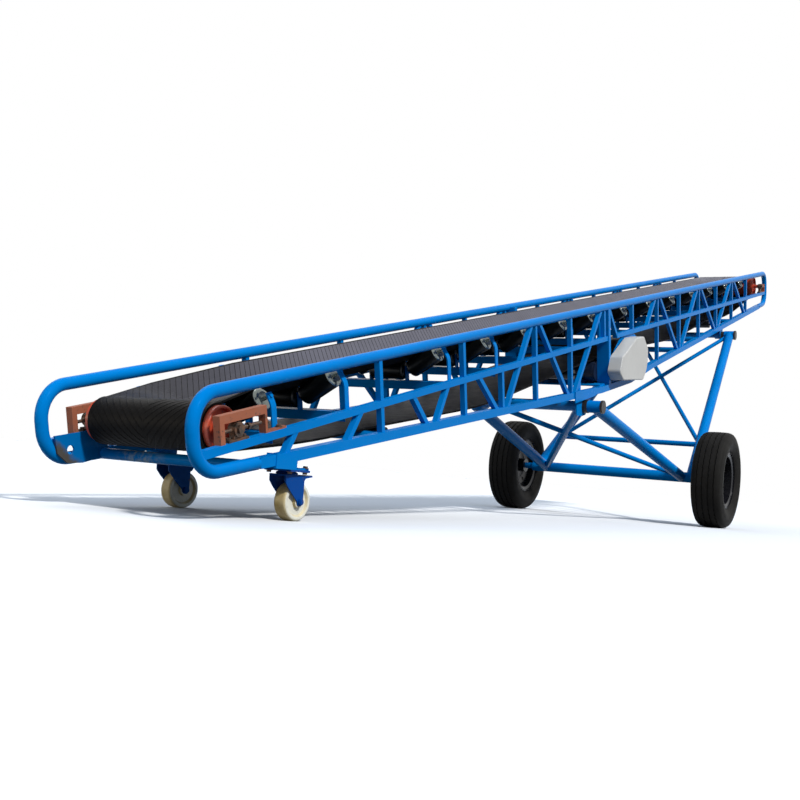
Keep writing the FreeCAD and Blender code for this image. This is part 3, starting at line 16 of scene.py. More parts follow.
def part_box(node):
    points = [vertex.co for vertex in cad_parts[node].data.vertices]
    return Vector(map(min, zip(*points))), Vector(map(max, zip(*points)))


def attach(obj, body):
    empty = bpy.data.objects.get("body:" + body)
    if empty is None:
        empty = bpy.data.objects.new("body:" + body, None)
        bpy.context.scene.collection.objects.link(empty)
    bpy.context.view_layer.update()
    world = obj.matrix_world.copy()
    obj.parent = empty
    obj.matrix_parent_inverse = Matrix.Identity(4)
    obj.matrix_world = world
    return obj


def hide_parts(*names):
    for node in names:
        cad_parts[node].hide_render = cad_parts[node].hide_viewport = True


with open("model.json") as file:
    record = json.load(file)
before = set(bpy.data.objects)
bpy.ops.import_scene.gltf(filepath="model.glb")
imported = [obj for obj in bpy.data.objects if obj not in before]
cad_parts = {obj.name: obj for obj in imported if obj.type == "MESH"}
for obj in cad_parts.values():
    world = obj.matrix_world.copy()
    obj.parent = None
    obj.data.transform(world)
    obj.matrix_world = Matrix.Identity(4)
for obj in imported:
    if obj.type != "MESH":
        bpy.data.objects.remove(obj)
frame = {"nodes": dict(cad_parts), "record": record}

bl_info = {
    "name": "Mobile belt conveyor looks",
    "version": (1, 0, 0),
    "blender": (4, 5, 0),
    "location": "View3D > Sidebar > Conveyor",
    "description": "Finishes, tread, fastenings and stage of a mobile belt conveyor",
    "category": "Object",
}

NODES = frame["nodes"]
SIDES = ((-1, "near"), (1, "far"))


# ------------------------------------------------------------------ places from the frame
def middle(node):
    """Centre of a CAD node's box."""
    low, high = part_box(node)
    return (Vector(low) + Vector(high)) / 2


INCLINE = math.radians(13.9)
ALONG = Vector((math.cos(INCLINE), 0, math.sin(INCLINE)))
SQUARE = Vector((-ALONG.z, 0, ALONG.x))
ACROSS = Vector((0, 1, 0))
LEVEL, UPWARD = Vector((1, 0, 0)), Vector((0, 0, 1))
# drum axes and radii in the truss's own lines: along the rails, square to them, radius
TAIL, HEAD = (-5.290, -0.147, 0.080), (3.345, -0.124, 0.095)
ORIGIN = middle("tail_drum") - ALONG * TAIL[0] - SQUARE * TAIL[1]


def truss_point(u, y, w):
    """A point in the truss's lines: along the rails, across, and square to them."""
    return ORIGIN + ALONG * u + ACROSS * y + SQUARE * w


BELT_HALF, BELT_THICK = 0.265, 0.009
SEAT = 0.0003           # clearance between the belt and what it runs on
FOLD = 0.105            # where the belt's middle part ends, measured across the flat belt
TROUGH_W = -0.1052      # underside of the troughed strand
# the two troughs: angle of the wings, and how far out the middle part reaches
ENTRY, TROUGH = (math.radians(22.5), 0.10797), (math.radians(30), 0.10275)
WRAP_STEPS = 44         # steps of the belt round one drum
WRAP_END = math.radians(265)    # where its chevrons end, underneath; 90 degrees is the top
# idlers along the truss; the first seven are set out one by one
IDLERS = [-5.0499, -4.560, -3.655, -3.120, -2.600, -2.030, -1.522]
IDLERS += [-0.870 + 0.604 * step for step in range(7)]
TROUGH_END = 2.789      # where the belt begins to flatten towards the head drum
CENTRE_W, ROLLER_RADIUS = -0.150, 0.0445
# along a wing roller: from the centre line to its inner end, then on to its cap and nut
WING_START, WING_CAP, WING_NUT = 0.125, 0.1665, 0.2105

# distances from the centre line: drum bearings, ends of their shafts, face of the drive
BEARING_Y, SHAFT_END_Y, DRIVE_FACE_Y = 0.344, 0.361, 0.3522
BEARING_FOOT_W, BEARING_BOLT = -0.178, 0.042    # foot, and its bolts before and behind
FIRST_FOOT = (-5.048, 0.348, -0.1785)   # bolt of the first idler's foot: along, aside, square
# tension screw: its start behind the tail drum, places of its nuts, and its thread
SCREW_BACK, SCREW_NUTS = 0.074, (-5.1265, -5.226)
THREAD_PITCH, THREAD_RADIUS, THREAD_DEPTH, THREADS = 0.005, 0.0070, 0.0012, 44
# shafts in the drive's side plates: along, square, radius of the flange bearing
DRIVE_SHAFTS = ((-1.317, -0.388, 0.038), (-0.725, -0.388, 0.038), (-1.021, -0.378, 0.052))

# the chevrons: run along the belt for a distance outwards, and the ends of an arm
RIB_SWEEP, RIB_TIP, RIB_EDGE = 1.0, 0.003, 0.256
RIB_SLOPE, RIB_SUNK = 0.0008, 0.0003    # foot beyond the top, and its depth in the belt
# the shortest arm kept, its step over a bend, and its spans on the straight
RIB_LEAST, RIB_STEP, RIB_SPANS = 0.012, 0.014, 4
# tread: radius in the middle, fall per distance squared, grooves, and how they zigzag
TREAD_RADIUS, TREAD_CROWN, TREAD_GROOVES = 0.3498, 0.42, (-0.060, -0.021, 0.021, 0.060)
TYRE_STEPS, ZIGZAG = 192, 0.0016

# bolts: across corners and high
WHEEL_BOLT, SHAFT_NUT, IDLER_NUT = (0.026, 0.014), (0.034, 0.010), (0.018, 0.006)
FRAME_BOLT_HIGH = 0.007
HEAD_LIFT, WASHER_REACH, WASHER_THICK = 0.68, 0.78, 0.36    # shares of the bolt's own size
STUDS, STUD_RING, STUD_SUNK = 6, 0.078, 0.004   # per wheel, radius of their ring, depth

# castors: swivel from the corner of the plates, bolts round it, and the shelf above
CASTOR_INSET, CASTOR_BOLTS, SHELF_THICK = (0.064, 0.062), (0.050, 0.048), 0.008
CASTOR_TURN = {"near": math.radians(6), "far": math.radians(11)}    # as they stand at rest
# grips on the brake tread: how many, the first ahead of the swivel, step, height, half sizes
GRIPS, GRIP_START, GRIP_STEP, GRIP_HIGH = 5, 0.084, 0.0105, 0.1745
GRIP_HALVES = (0.0022, 0.0195, 0.0028)


# ------------------------------------------------------------------ settings
def colour_prop(name, description, default):
    """A linear colour setting."""
    return bpy.props.FloatVectorProperty(
        name=name, description=description, subtype="COLOR", size=3, min=0, max=1,
        default=default)


def length_prop(name, description, default):
    """A length setting, in metres."""
    return bpy.props.FloatProperty(
        name=name, description=description, default=default, unit="LENGTH", precision=4)


class ConveyorColours(bpy.types.PropertyGroup):
    frame_paint: colour_prop("Frame", "Azure enamel of the truss and legs", (0.0, 0.185, 0.55))
    castor_paint: colour_prop("Castors", "Royal blue of the castor forks", (0.001, 0.055, 0.27))
    primer: colour_prop("Primer", "Red-brown primer of the take-ups", (0.32, 0.105, 0.055))
    drum_paint: colour_prop("Drums", "Orange of the drum ends", (0.50, 0.060, 0.022))
    belt_rubber: colour_prop("Belt", "Rubber of the belt", (0.0042, 0.0038, 0.0036))
    guard_paint: colour_prop("Guard", "Light grey of the chain cover", (0.50, 0.49, 0.46))
    nylon: colour_prop("Castor wheels", "Cast nylon", (0.74, 0.72, 0.61))
    tyre_rubber: colour_prop("Tyres", "Rubber of the road tyres", (0.0105, 0.0098, 0.0088))
    floor_tone: colour_prop("Floor", "Pale studio floor", (0.18, 0.18, 0.18))
    sky_low: colour_prop("Horizon", "Light from the sides", (0.16, 0.18, 0.21))
    sky_high: colour_prop("Overhead", "Light from above", (0.52, 0.62, 0.76))
    backdrop: colour_prop("Backdrop", "Plain screen behind the machine", (1.0, 1.0, 1.0))


class ConveyorSizes(bpy.types.PropertyGroup):
    rib_pitch: length_prop("Rib pitch", "From one chevron of the belt to the next", 0.033)
    rib_height: length_prop("Rib height", "Chevrons above the belt", 0.0007)
    rib_width: length_prop("Rib width", "Width of a chevron's top", 0.0295)
    groove_depth: length_prop("Groove depth", "Circumferential grooves of the tyres", 0.008)
    bolt_width: length_prop("Bolt width", "Small hexagon heads, across corners", 0.018)


class ConveyorView(bpy.types.PropertyGroup):
    eye: bpy.props.FloatVectorProperty(
        name="Eye", description="Camera place on the frame", size=3, subtype="XYZ",
        default=(-7.118, -2.6546, 0.2294))
    heading: bpy.props.FloatProperty(
        name="Heading", description="From +X towards +Y", subtype="ANGLE",
        default=math.radians(29.7))
    rise: bpy.props.FloatProperty(
        name="Rise", description="Above level", subtype="ANGLE", default=math.radians(3.69))
    roll: bpy.props.FloatProperty(
        name="Roll", description="Clockwise tilt of the view", subtype="ANGLE",
        default=math.radians(4.8))
    lens: bpy.props.FloatProperty(
        name="Lens", description="Focal length on a 36 mm wide sensor", unit="CAMERA",
        default=48.4)


# ------------------------------------------------------------------ material building
DIRT, CHIP, RUST = (0.17, 0.16, 0.145), (0.09, 0.06, 0.045), (0.13, 0.06, 0.03)
# the first two colours on this line are the tread's: yellowed nylon, darkened as painted shade
SHADED_TREAD_NYLON, AGED_SHADED_NYLON, SCUFF = (0.62, 0.51, 0.27), (0.46, 0.34, 0.13), (0.22, 0.18, 0.12)
TUBE_BLACK, CAP_STEEL = (0.006, 0.007, 0.007), (0.21, 0.235, 0.22)
# the first colour on this line is a pale grey-cyan patch on the cross tube nearest the tail
PALE_TUBE_PATCH, RUBBED_PLATE = (0.34, 0.42, 0.46), (0.075, 0.068, 0.058)
RIM_BLACK, MOTOR_BLUE = (0.0045, 0.0045, 0.0065), (0.006, 0.012, 0.030)
PIVOT_BROWN, ZINC, DARK_STEEL = (0.018, 0.015, 0.014), (0.62, 0.62, 0.60), (0.060, 0.050, 0.043)
# the first colour on this line is a painted sky reflection, laid on the belt's upward faces
BELT_SKY_SHEEN, SHOWN_FLOOR, WHITE = (0.165, 0.160, 0.195), (0.86, 0.86, 0.86), (1.0, 1.0, 1.0)
AZURE_GLINT, PALE_GLINT = (0.12, 0.55, 1.0), (0.3, 0.6, 1.0)
PIVOT_INNER = 0.3403    # nearer to the centre line than this, the pivots are painted blue
MATERIALS = {}
SLOT_FINISH = {
    "frame_blue": "frame", "castor_blue": "castor", "tyre": "tyre", "rim_black": "rim",
    "nylon": "nylon", "belt_rubber": "belt", "roller_steel": "roller", "drum_orange": "drum",
    "drum_lagging": "belt", "primer_red": "primer", "guard_grey": "guard",
    "motor_blue": "motor", "pivot_steel": "pivot"}
NODE_FINISH = {"tail_gusset": "gusset", "cross_tubes": "tube", "drum_bearings": "dark_steel"}


def shader_nodes(name):
    """An empty node material; returns it with its tree and shader."""
    material = bpy.data.materials.new(name)
    material.use_nodes = True
    tree = material.node_tree
    shader = tree.nodes["Principled BSDF"]
    return material, tree, shader


def add(tree, kind, **settings):
    """A node with its sockets, or else its own settings, set by name."""
    node = tree.nodes.new(kind)
    for key, value in settings.items():
        if key in node.inputs:
            node.inputs[key].default_value = value
        else:
            setattr(node, key, value)
    return node


def object_coords(tree):
    """Places on a piece, which stay with it when it moves."""
    return add(tree, "ShaderNodeTexCoord").outputs["Object"]


def noise(tree, vector, scale, detail=4.0, roughness=0.55):
    """Fractal noise from 0 to 1."""
    node = add(tree, "ShaderNodeTexNoise", Scale=scale, Detail=detail, Roughness=roughness)
    tree.links.new(vector, node.inputs["Vector"])
    return node.outputs["Fac"]


def map_range(tree, value, ends, low, high):
    """A straight map, held at its ends; low and high are its "From" or its "To"."""
    node = add(tree, "ShaderNodeMapRange", **{ends + " Min": low, ends + " Max": high})
    tree.links.new(value, node.inputs["Value"])
    return node.outputs["Result"]


def ramp(tree, value, start, end):
    """0 below start, 1 above end, straight between them."""
    return map_range(tree, value, "From", start, end)


def spread(tree, value, low, high):
    """Maps 0..1 onto low..high."""
    return map_range(tree, value, "To", low, high)


def math_node(tree, operation, first, second=None):
    """The result of a sum on sockets or numbers."""
    node = add(tree, "ShaderNodeMath", operation=operation)
    for socket, value in zip(node.inputs, (first, second)):
        if value is None:
            continue
        if isinstance(value, (int, float)):
            socket.default_value = value
        else:
            tree.links.new(value, socket)
    return node.outputs[0]


def blend_colour(tree, factor, first, second):
    """first at factor 0, second at 1; each is a colour or a socket."""
    node = add(tree, "ShaderNodeMix", data_type="RGBA")
    tree.links.new(factor, node.inputs["Factor"])
    sockets = [s for s in node.inputs if s.type == "RGBA"]
    for socket, value in zip(sockets, (first, second)):
        if isinstance(value, bpy.types.NodeSocket):
            tree.links.new(value, socket)
        else:
            socket.default_value = (*value, 1.0)
    return next(s for s in node.outputs if s.type == "RGBA")


def bump(tree, shader, height, strength, distance, below=None):
    """Bumps the shader's normal by a height, on top of the normals below."""
    node = add(tree, "ShaderNodeBump", Strength=strength, Distance=distance)
    tree.links.new(height, node.inputs["Height"])
    if below is not None:
        tree.links.new(below, node.inputs["Normal"])
    tree.links.new(node.outputs["Normal"], shader.inputs["Normal"])
    return node.outputs["Normal"]


def shade(colour, factor):
    """The colour made darker or lighter."""
    return tuple(min(1.0, channel * factor) for channel in colour)


def axis_part(tree, vector, axis):
    """One coordinate of a vector."""
    split = add(tree, "ShaderNodeSeparateXYZ")
    tree.links.new(vector, split.inputs[0])
    return split.outputs[axis]


def reach_along(tree, at, direction):
    """How far a place lies along a direction in the XZ plane."""
    return math_node(
        tree, "ADD", math_node(tree, "MULTIPLY", axis_part(tree, at, "X"), direction.x),
        math_node(tree, "MULTIPLY", axis_part(tree, at, "Z"), direction.z))


def from_middle(tree, at):
    """Distance from the centre line, on either side."""
    return math_node(tree, "ABSOLUTE", axis_part(tree, at, "Y"))


def facing_part(tree, axis):
    """One coordinate of the normal in the piece's own axes."""
    return axis_part(tree, add(tree, "ShaderNodeTexCoord").outputs["Normal"], axis)


def set_gloss(shader, gloss, tint=WHITE):
    """How strongly a face reflects, and the colour of what it reflects head on."""
    shader.inputs["Specular IOR Level"].default_value = gloss
    shader.inputs["Specular Tint"].default_value = (*tint, 1.0)


def drifting(tree, at, colour):
    """The colour, a little darker here and lighter there."""
    drift = noise(tree, at, 2.3, 3.0)
    return blend_colour(tree, drift, shade(colour, 0.84), shade(colour, 1.14))


def enamel(name, colour, roughness=0.32, dust_and_sheen=0.10, chips=0.0, gloss=0.25, inside=None,
           tint=WHITE):
    """Sprayed enamel: slight tone drift, orange peel, dust, and chips down to metal.

    inside is (distance from the centre line, colour of the paint nearer to it).
    """
    material, tree, shader = shader_nodes(name)
    at = object_coords(tree)
    tone = drifting(tree, at, colour)
    if inside:
        limit, middle_colour = inside
        outer = ramp(tree, from_middle(tree, at), limit, limit + 0.001)
        tone = blend_colour(tree, outer, middle_colour, tone)
    dirt = ramp(tree, noise(tree, at, 14.0, 6.0, 0.65), 0.52, 0.78)
    tone = blend_colour(tree, math_node(tree, "MULTIPLY", dirt, dust_and_sheen), tone, DIRT)
    if chips:
        spots = ramp(tree, noise(tree, at, 55.0, 5.0, 0.7), 0.66 - chips, 0.69 - chips)
        tone = blend_colour(tree, spots, tone, CHIP)
    tree.links.new(tone, shader.inputs["Base Color"])
    rough = spread(tree, noise(tree, at, 30.0, 5.0), roughness - 0.07, roughness + 0.12)
    tree.links.new(rough, shader.inputs["Roughness"])
    set_gloss(shader, gloss, tint)
    bump(tree, shader, noise(tree, at, 120.0, 2.0), 0.05, 0.0006)
    return material


def rubber(name, colour, roughness=0.62, gloss=0.08, dust_and_sheen=None):
    """Black rubber.

    Its last argument, if given, paints a pale sky sheen on the upward faces: the colour
    of that painted reflection, and the X between which it comes in.
    """
    material, tree, shader = shader_nodes(name)
    set_gloss(shader, gloss)
    at = object_coords(tree)
    dusty = ramp(tree, noise(tree, at, 9.0, 6.0, 0.7), 0.45, 0.8)
    tone = blend_colour(tree, dusty, colour, shade(colour, 1.7))
    if dust_and_sheen:
        sheen_colour, sheen_start, sheen_full = dust_and_sheen
        # painted sky sheen: upward faces drawn paler, coming in with distance from the tail end
        sky_sheen = ramp(tree, facing_part(tree, "Z"), 0.55, 0.95)
        along = ramp(tree, axis_part(tree, at, "X"), sheen_start, sheen_full)
        sky_sheen = math_node(tree, "MULTIPLY", sky_sheen, along)
        drift = spread(tree, noise(tree, at, 5.0, 5.0), 0.6, 1.0)
        sky_sheen = math_node(tree, "MULTIPLY", sky_sheen, drift)
        tone = blend_colour(tree, sky_sheen, tone, sheen_colour)
    tree.links.new(tone, shader.inputs["Base Color"])
    rough = spread(tree, noise(tree, at, 22.0, 5.0), roughness - 0.1, roughness + 0.14)
    tree.links.new(rough, shader.inputs["Roughness"])
    bump(tree, shader, noise(tree, at, 260.0, 3.0), 0.16, 0.0008)
    return material


def bare_metal(name, colour, roughness=0.38, rust=0.0):
    """Plain metal; more rust spreads its dull spots."""
    material, tree, shader = shader_nodes(name)
    at = object_coords(tree)
    grime = ramp(tree, noise(tree, at, 60.0, 6.0, 0.7), 0.62 - rust, 0.80 - rust)
    tone = blend_colour(tree, grime, colour, RUST)
    tree.links.new(tone, shader.inputs["Base Color"])
    metal = spread(tree, grime, 0.95, 0.15)
    tree.links.new(metal, shader.inputs["Metallic"])
    rough = spread(tree, grime, roughness, 0.85)
    tree.links.new(rough, shader.inputs["Roughness"])
    bump(tree, shader, noise(tree, at, 300.0, 3.0), 0.12, 0.0006)
    return material


def nylon(name, colour):
    """Cast nylon: whitish faces, the tread yellowed and in painted shade, scuffed brown at its
    edges.
    """
    material, tree, shader = shader_nodes(name)
    at = object_coords(tree)
    # side faces get the face colour, the tread the darker tread colours: yellowing and painted
    # shade
    face = ramp(tree, math_node(tree, "ABSOLUTE", facing_part(tree, "Y")), 0.45, 0.95)
    aged = ramp(tree, noise(tree, at, 24.0, 5.0), 0.35, 0.70)
    tread = blend_colour(tree, aged, SHADED_TREAD_NYLON, AGED_SHADED_NYLON)
    tone = blend_colour(tree, face, tread, colour)
    scuffs = ramp(tree, noise(tree, at, 85.0, 6.0, 0.7), 0.56, 0.70)
    tone = blend_colour(tree, math_node(tree, "MULTIPLY", scuffs, 0.40), tone, SCUFF)
    tree.links.new(tone, shader.inputs["Base Color"])
    shader.inputs["Roughness"].default_value = 0.38
    set_gloss(shader, 0.35)
    bump(tree, shader, noise(tree, at, 140.0, 3.0), 0.10, 0.0008)
    return material


def belt_material(name, colour, pitch):
    """Belt rubber with chevrons pressed in, for the return strand that has no raised pads."""
    material, tree, shader = shader_nodes(name)
    at = object_coords(tree)
    swept = math_node(tree, "ADD", reach_along(tree, at, ALONG), from_middle(tree, at))
    phase = math_node(tree, "MULTIPLY", swept, 2 * math.pi / pitch)
    grooves = ramp(tree, math_node(tree, "SINE", phase), 0.80, 0.95)
    scuffed = ramp(tree, noise(tree, at, 7.0, 6.0, 0.7), 0.40, 0.75)
    tone = blend_colour(tree, scuffed, colour, shade(colour, 1.8))
    tree.links.new(tone, shader.inputs["Base Color"])
    rough = spread(tree, noise(tree, at, 16.0, 5.0), 0.38, 0.55)
    set_gloss(shader, 0.05)
    tree.links.new(rough, shader.inputs["Roughness"])
    grain = bump(tree, shader, noise(tree, at, 240.0, 3.0), 0.12, 0.0008)
    bump(tree, shader, math_node(tree, "SUBTRACT", 1.0, grooves), 0.3, 0.0012, grain)
    return material


def roller_finish(name):
    """Black gloss tube; the outer end caps are bright pressed steel."""
    material, tree, shader = shader_nodes(name)
    at = object_coords(tree)
    cos, sin = math.cos(TROUGH[0]), math.sin(TROUGH[0])
    along = math_node(tree, "ADD", math_node(tree, "MULTIPLY", from_middle(tree, at), cos),
                      math_node(tree, "MULTIPLY", reach_along(tree, at, SQUARE), sin))
    # distance along a wing roller from its inner end
    axis_w = ORIGIN.dot(SQUARE) + CENTRE_W + ROLLER_RADIUS * (1 - cos)
    start = WING_START * cos + axis_w * sin
    cap = ramp(tree, along, start + WING_CAP, start + WING_CAP + 0.001)
    tone = blend_colour(tree, cap, TUBE_BLACK, CAP_STEEL)
    tree.links.new(tone, shader.inputs["Base Color"])
    tree.links.new(math_node(tree, "MULTIPLY", cap, 0.85), shader.inputs["Metallic"])
    tree.links.new(spread(tree, cap, 0.30, 0.24), shader.inputs["Roughness"])
    set_gloss(shader, 0.25)
    return material


def pale_patch_tube(name, colour):
    """Enamel with one pale grey-cyan stretch on the tube nearest the tail."""
    material, tree, shader = shader_nodes(name)
    at = object_coords(tree)
    tail_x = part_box("cross_tubes")[0][0]
    # a ragged pale grey-cyan patch, at most 0.8 strong, near the tail end of the tube, centred
    # 0.12 m to the +Y side
    near_tail = ramp(tree, axis_part(tree, at, "X"), tail_x + 0.07, tail_x + 0.05)
    beyond = math_node(tree, "SUBTRACT", axis_part(tree, at, "Y"), 0.12)
    here = math_node(tree, "ABSOLUTE", beyond)
    patch = math_node(tree, "MULTIPLY", near_tail, ramp(tree, here, 0.13, 0.03))
    rubbed = ramp(tree, noise(tree, at, 38.0, 6.0, 0.7), 0.42, 0.60)
    patch = math_node(tree, "MULTIPLY", patch, rubbed)
    patch = math_node(tree, "MULTIPLY", patch, 0.8)
    tone = blend_colour(tree, patch, drifting(tree, at, colour), PALE_TUBE_PATCH)
    tree.links.new(tone, shader.inputs["Base Color"])
    shader.inputs["Roughness"].default_value = 0.28
    set_gloss(shader, 0.08, AZURE_GLINT)
    bump(tree, shader, noise(tree, at, 120.0, 2.0), 0.05, 0.0006)
    return material


def worn_plate(name, colour):
    """Enamel rubbed through to grey-brown primer and steel along one edge."""
    material, tree, shader = shader_nodes(name)
    at = object_coords(tree)
    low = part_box("tail_gusset")[0]
    lean = 0.55
    ragged = math_node(tree, "MULTIPLY", noise(tree, at, 24.0, 6.0, 0.7), 0.09)
    slant = math_node(tree, "MULTIPLY", axis_part(tree, at, "X"), lean)
    height = math_node(tree, "ADD", axis_part(tree, at, "Z"), slant)
    height = math_node(tree, "ADD", height, ragged)
    edge = low[2] + lean * low[0]
    worn = ramp(tree, height, edge + 0.135, edge + 0.105)
    tone = blend_colour(tree, worn, colour, RUBBED_PLATE)
    tree.links.new(tone, shader.inputs["Base Color"])
    rough = spread(tree, worn, 0.34, 0.75)
    tree.links.new(rough, shader.inputs["Roughness"])
    set_gloss(shader, 0.08, PALE_GLINT)
    bump(tree, shader, noise(tree, at, 180.0, 4.0), 0.2, 0.001)
    return material


def shown_ray(tree):
    """1 for what the camera sees itself, in a mirror or through glass, otherwise 0."""
    path = add(tree, "ShaderNodeLightPath")
    camera, mirror, glass = (path.outputs[f"Is {kind} Ray"]
                             for kind in ("Camera", "Glossy", "Transmission"))
    return math_node(tree, "MAXIMUM", math_node(tree, "MAXIMUM", camera, mirror), glass)


def paint(mesh, material):
    """Gives a mesh one material."""
    mesh.materials.clear()
    mesh.materials.append(material)


def shade_by_angle(mesh, angle=math.radians(35)):
    """Smooth shading with sharp edges where faces meet at more than the angle."""
    shell = bmesh.new()
    shell.from_mesh(mesh)
    for face in shell.faces:
        face.smooth = True
    for edge in shell.edges:
        edge.smooth = len(edge.link_faces) == 2 and edge.calc_face_angle(0.0) < angle
    shell.to_mesh(mesh)
    shell.free()


def finish_piece(name, mesh, body, material):
    """Adds a finished mesh to the scene, riding on its body."""
    paint(mesh, material)
    piece = bpy.data.objects.new(name, mesh)
    bpy.context.scene.collection.objects.link(piece)
    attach(piece, body)
    return piece


# ------------------------------------------------------------------ geometry nodes
def node_tree(name, labels):
    """An empty geometry tree with a number input for each label."""
    tree = bpy.data.node_groups.new(name, "GeometryNodeTree")
    tree.interface.new_socket("Geometry", in_out="INPUT", socket_type="NodeSocketGeometry")
    for label in labels:
        tree.interface.new_socket(label, in_out="INPUT", socket_type="NodeSocketFloat")
    tree.interface.new_socket("Geometry", in_out="OUTPUT", socket_type="NodeSocketGeometry")
    return tree, tree.nodes.new("NodeGroupInput"), tree.nodes.new("NodeGroupOutput")


def wire(tree, source, target, source_key=0, target_key=0):
    """Links an output of one node to an input of another."""
    tree.links.new(source.outputs[source_key], target.inputs[target_key])


def bolt_tree(material):
    """Hexagon head with washer on every point, facing along the attribute "facing"."""
    tree, entry, leave = node_tree("bolts", ("Width", "Height"))

    def share(key, factor):
        return math_node(tree, "MULTIPLY", entry.outputs[key], factor)

    head = add(tree, "GeometryNodeMeshCylinder", Vertices=6)
    tree.links.new(share("Width", 0.5), head.inputs["Radius"])
    wire(tree, entry, head, "Height", "Depth")
    offset = add(tree, "ShaderNodeCombineXYZ")
    tree.links.new(share("Height", HEAD_LIFT), offset.inputs["Z"])
    raised = add(tree, "GeometryNodeTransform")
    wire(tree, head, raised, "Mesh", "Geometry")
    wire(tree, offset, raised, 0, "Translation")
    washer = add(tree, "GeometryNodeMeshCylinder", Vertices=20)
    tree.links.new(share("Width", WASHER_REACH), washer.inputs["Radius"])
    tree.links.new(share("Height", WASHER_THICK), washer.inputs["Depth"])
    both = add(tree, "GeometryNodeJoinGeometry")
    wire(tree, raised, both)
    wire(tree, washer, both, "Mesh")
    facing = add(tree, "GeometryNodeInputNamedAttribute", data_type="FLOAT_VECTOR",
                 Name="facing")
    turn = add(tree, "FunctionNodeAlignRotationToVector", axis="Z")
    wire(tree, facing, turn, 0, "Vector")
    spots = add(tree, "GeometryNodeInstanceOnPoints")
    wire(tree, entry, spots, "Geometry", "Points")
    wire(tree, both, spots, 0, "Instance")
    wire(tree, turn, spots, 0, "Rotation")
    real = add(tree, "GeometryNodeRealizeInstances")
    wire(tree, spots, real)
    dressed = add(tree, "GeometryNodeSetMaterial", Material=material)
    wire(tree, real, dressed)
    wire(tree, dressed, leave)
    return tree


def grown(name, mesh, tree, values):
    """The mesh that a geometry tree makes of another, with its inputs set."""
    seed = bpy.data.objects.new(name + "_seed", mesh)
    bpy.context.scene.collection.objects.link(seed)
    modifier = seed.modifiers.new("grow", "NODES")
    modifier.node_group = tree
    for item in tree.interface.items_tree:
        if item.in_out == "INPUT" and item.name in values:
            modifier[item.identifier] = values[item.name]
    bpy.context.view_layer.update()
    ready = seed.evaluated_get(bpy.context.evaluated_depsgraph_get())
    made = bpy.data.meshes.new_from_object(ready)
    made.name = name
    seed.modifiers.clear()
    bpy.data.objects.remove(seed)
    return made


def spots_mesh(name, spots):
    """Loose points with the direction that each one faces; spots are (place, facing)."""
    mesh = bpy.data.meshes.new(name)
    mesh.from_pydata([tuple(place) for place, facing in spots], [], [])
    layer = mesh.attributes.new("facing", "FLOAT_VECTOR", "POINT")
    layer.data.foreach_set("vector", [c for place, facing in spots for c in facing])
    return mesh


def bolts(name, spots, body, size, material):
    """One piece of hexagon bolts or nuts; size is across corners, and high."""
    mesh = grown(name, spots_mesh(name + "_spots", spots), bolt_tree(MATERIALS[material]),
                 {"Width": size[0], "Height": size[1]})
    finish_piece(name, mesh, body, MATERIALS[material])


# ------------------------------------------------------------------ meshes
def mesh_of(name, shell, outwards=True):
    """The mesh of a bmesh, which is freed; its faces are turned outwards first."""
    if outwards:
        bmesh.ops.recalc_face_normals(shell, faces=shell.faces)
    mesh = bpy.data.meshes.new(name)
    shell.to_mesh(mesh)
    shell.free()
    return mesh


def turned_mesh(name, outline, centre, steps=96, closed=False, wave=None,
                axes=(ACROSS, LEVEL, UPWARD)):
    """A surface turned about the first of the axes through centre.

    outline holds (along the axis, radius) pairs; wave(index, step) shifts a point along it.
    """
    axis, first, second = axes
    shell = bmesh.new()
    rings = []
    for step in range(steps):
        angle = 2 * math.pi * step / steps
        ring = []
        for index, (across, radius) in enumerate(outline):
            shift = wave(index, step) if wave else 0.0
            ring.append(shell.verts.new(
                centre + axis * (across + shift)
                + (first * math.cos(angle) + second * math.sin(angle)) * radius))
        rings.append(ring)
    spans = len(outline) if closed else len(outline) - 1
    for step in range(steps):
        here, after = rings[step], rings[(step + 1) % steps]
        for k in range(spans):
            n = (k + 1) % len(outline)
            shell.faces.new((here[k], here[n], after[n], after[k]))
    bmesh.ops.remove_doubles(shell, verts=shell.verts, dist=1e-6)
    mesh = mesh_of(name, shell)
    shade_by_angle(mesh)
    return mesh


def joined(name, meshes):
    """One mesh made of several."""
    shell = bmesh.new()
    for mesh in meshes:
        shell.from_mesh(mesh)
        bpy.data.meshes.remove(mesh)
    return mesh_of(name, shell, outwards=False)


def blocks_mesh(name, items):
    """Small oblong blocks; items are (centre, three half edges)."""
    shell = bmesh.new()
    for centre, halves in items:
        corners = [shell.verts.new(centre + halves[0] * a + halves[1] * b + halves[2] * c)
                   for a in (-1, 1) for b in (-1, 1) for c in (-1, 1)]
        for face in ((0, 1, 3, 2), (4, 6, 7, 5), (0, 4, 5, 1), (2, 3, 7, 6), (0, 2, 6, 4),
                     (1, 5, 7, 3)):
            shell.faces.new([corners[k] for k in face])
    return mesh_of(name, shell)


# ------------------------------------------------------------------ belt
def belt_section(origin, up, angle, flat):
    """The belt's carrying face across one section: place and normal for a distance aside."""
    fold = BELT_THICK * math.tan(angle / 2)
    cos, sin = math.cos(angle), math.sin(angle)
    reach = (BELT_HALF - flat) * cos - BELT_THICK * sin + fold
    climb = (BELT_HALF - flat) * sin + BELT_THICK * (cos - 1)

    def surface(y):
        side = 1 if y > 0 else -1
        if abs(y) <= FOLD:
            return origin + ACROSS * (side * (flat - fold) * abs(y) / FOLD), up
        share = (abs(y) - FOLD) / (BELT_HALF - FOLD)
        place = origin + ACROSS * (side * (flat - fold + share * reach)) + up * (share * climb)
        return place, up * cos - ACROSS * (side * sin)
    return surface


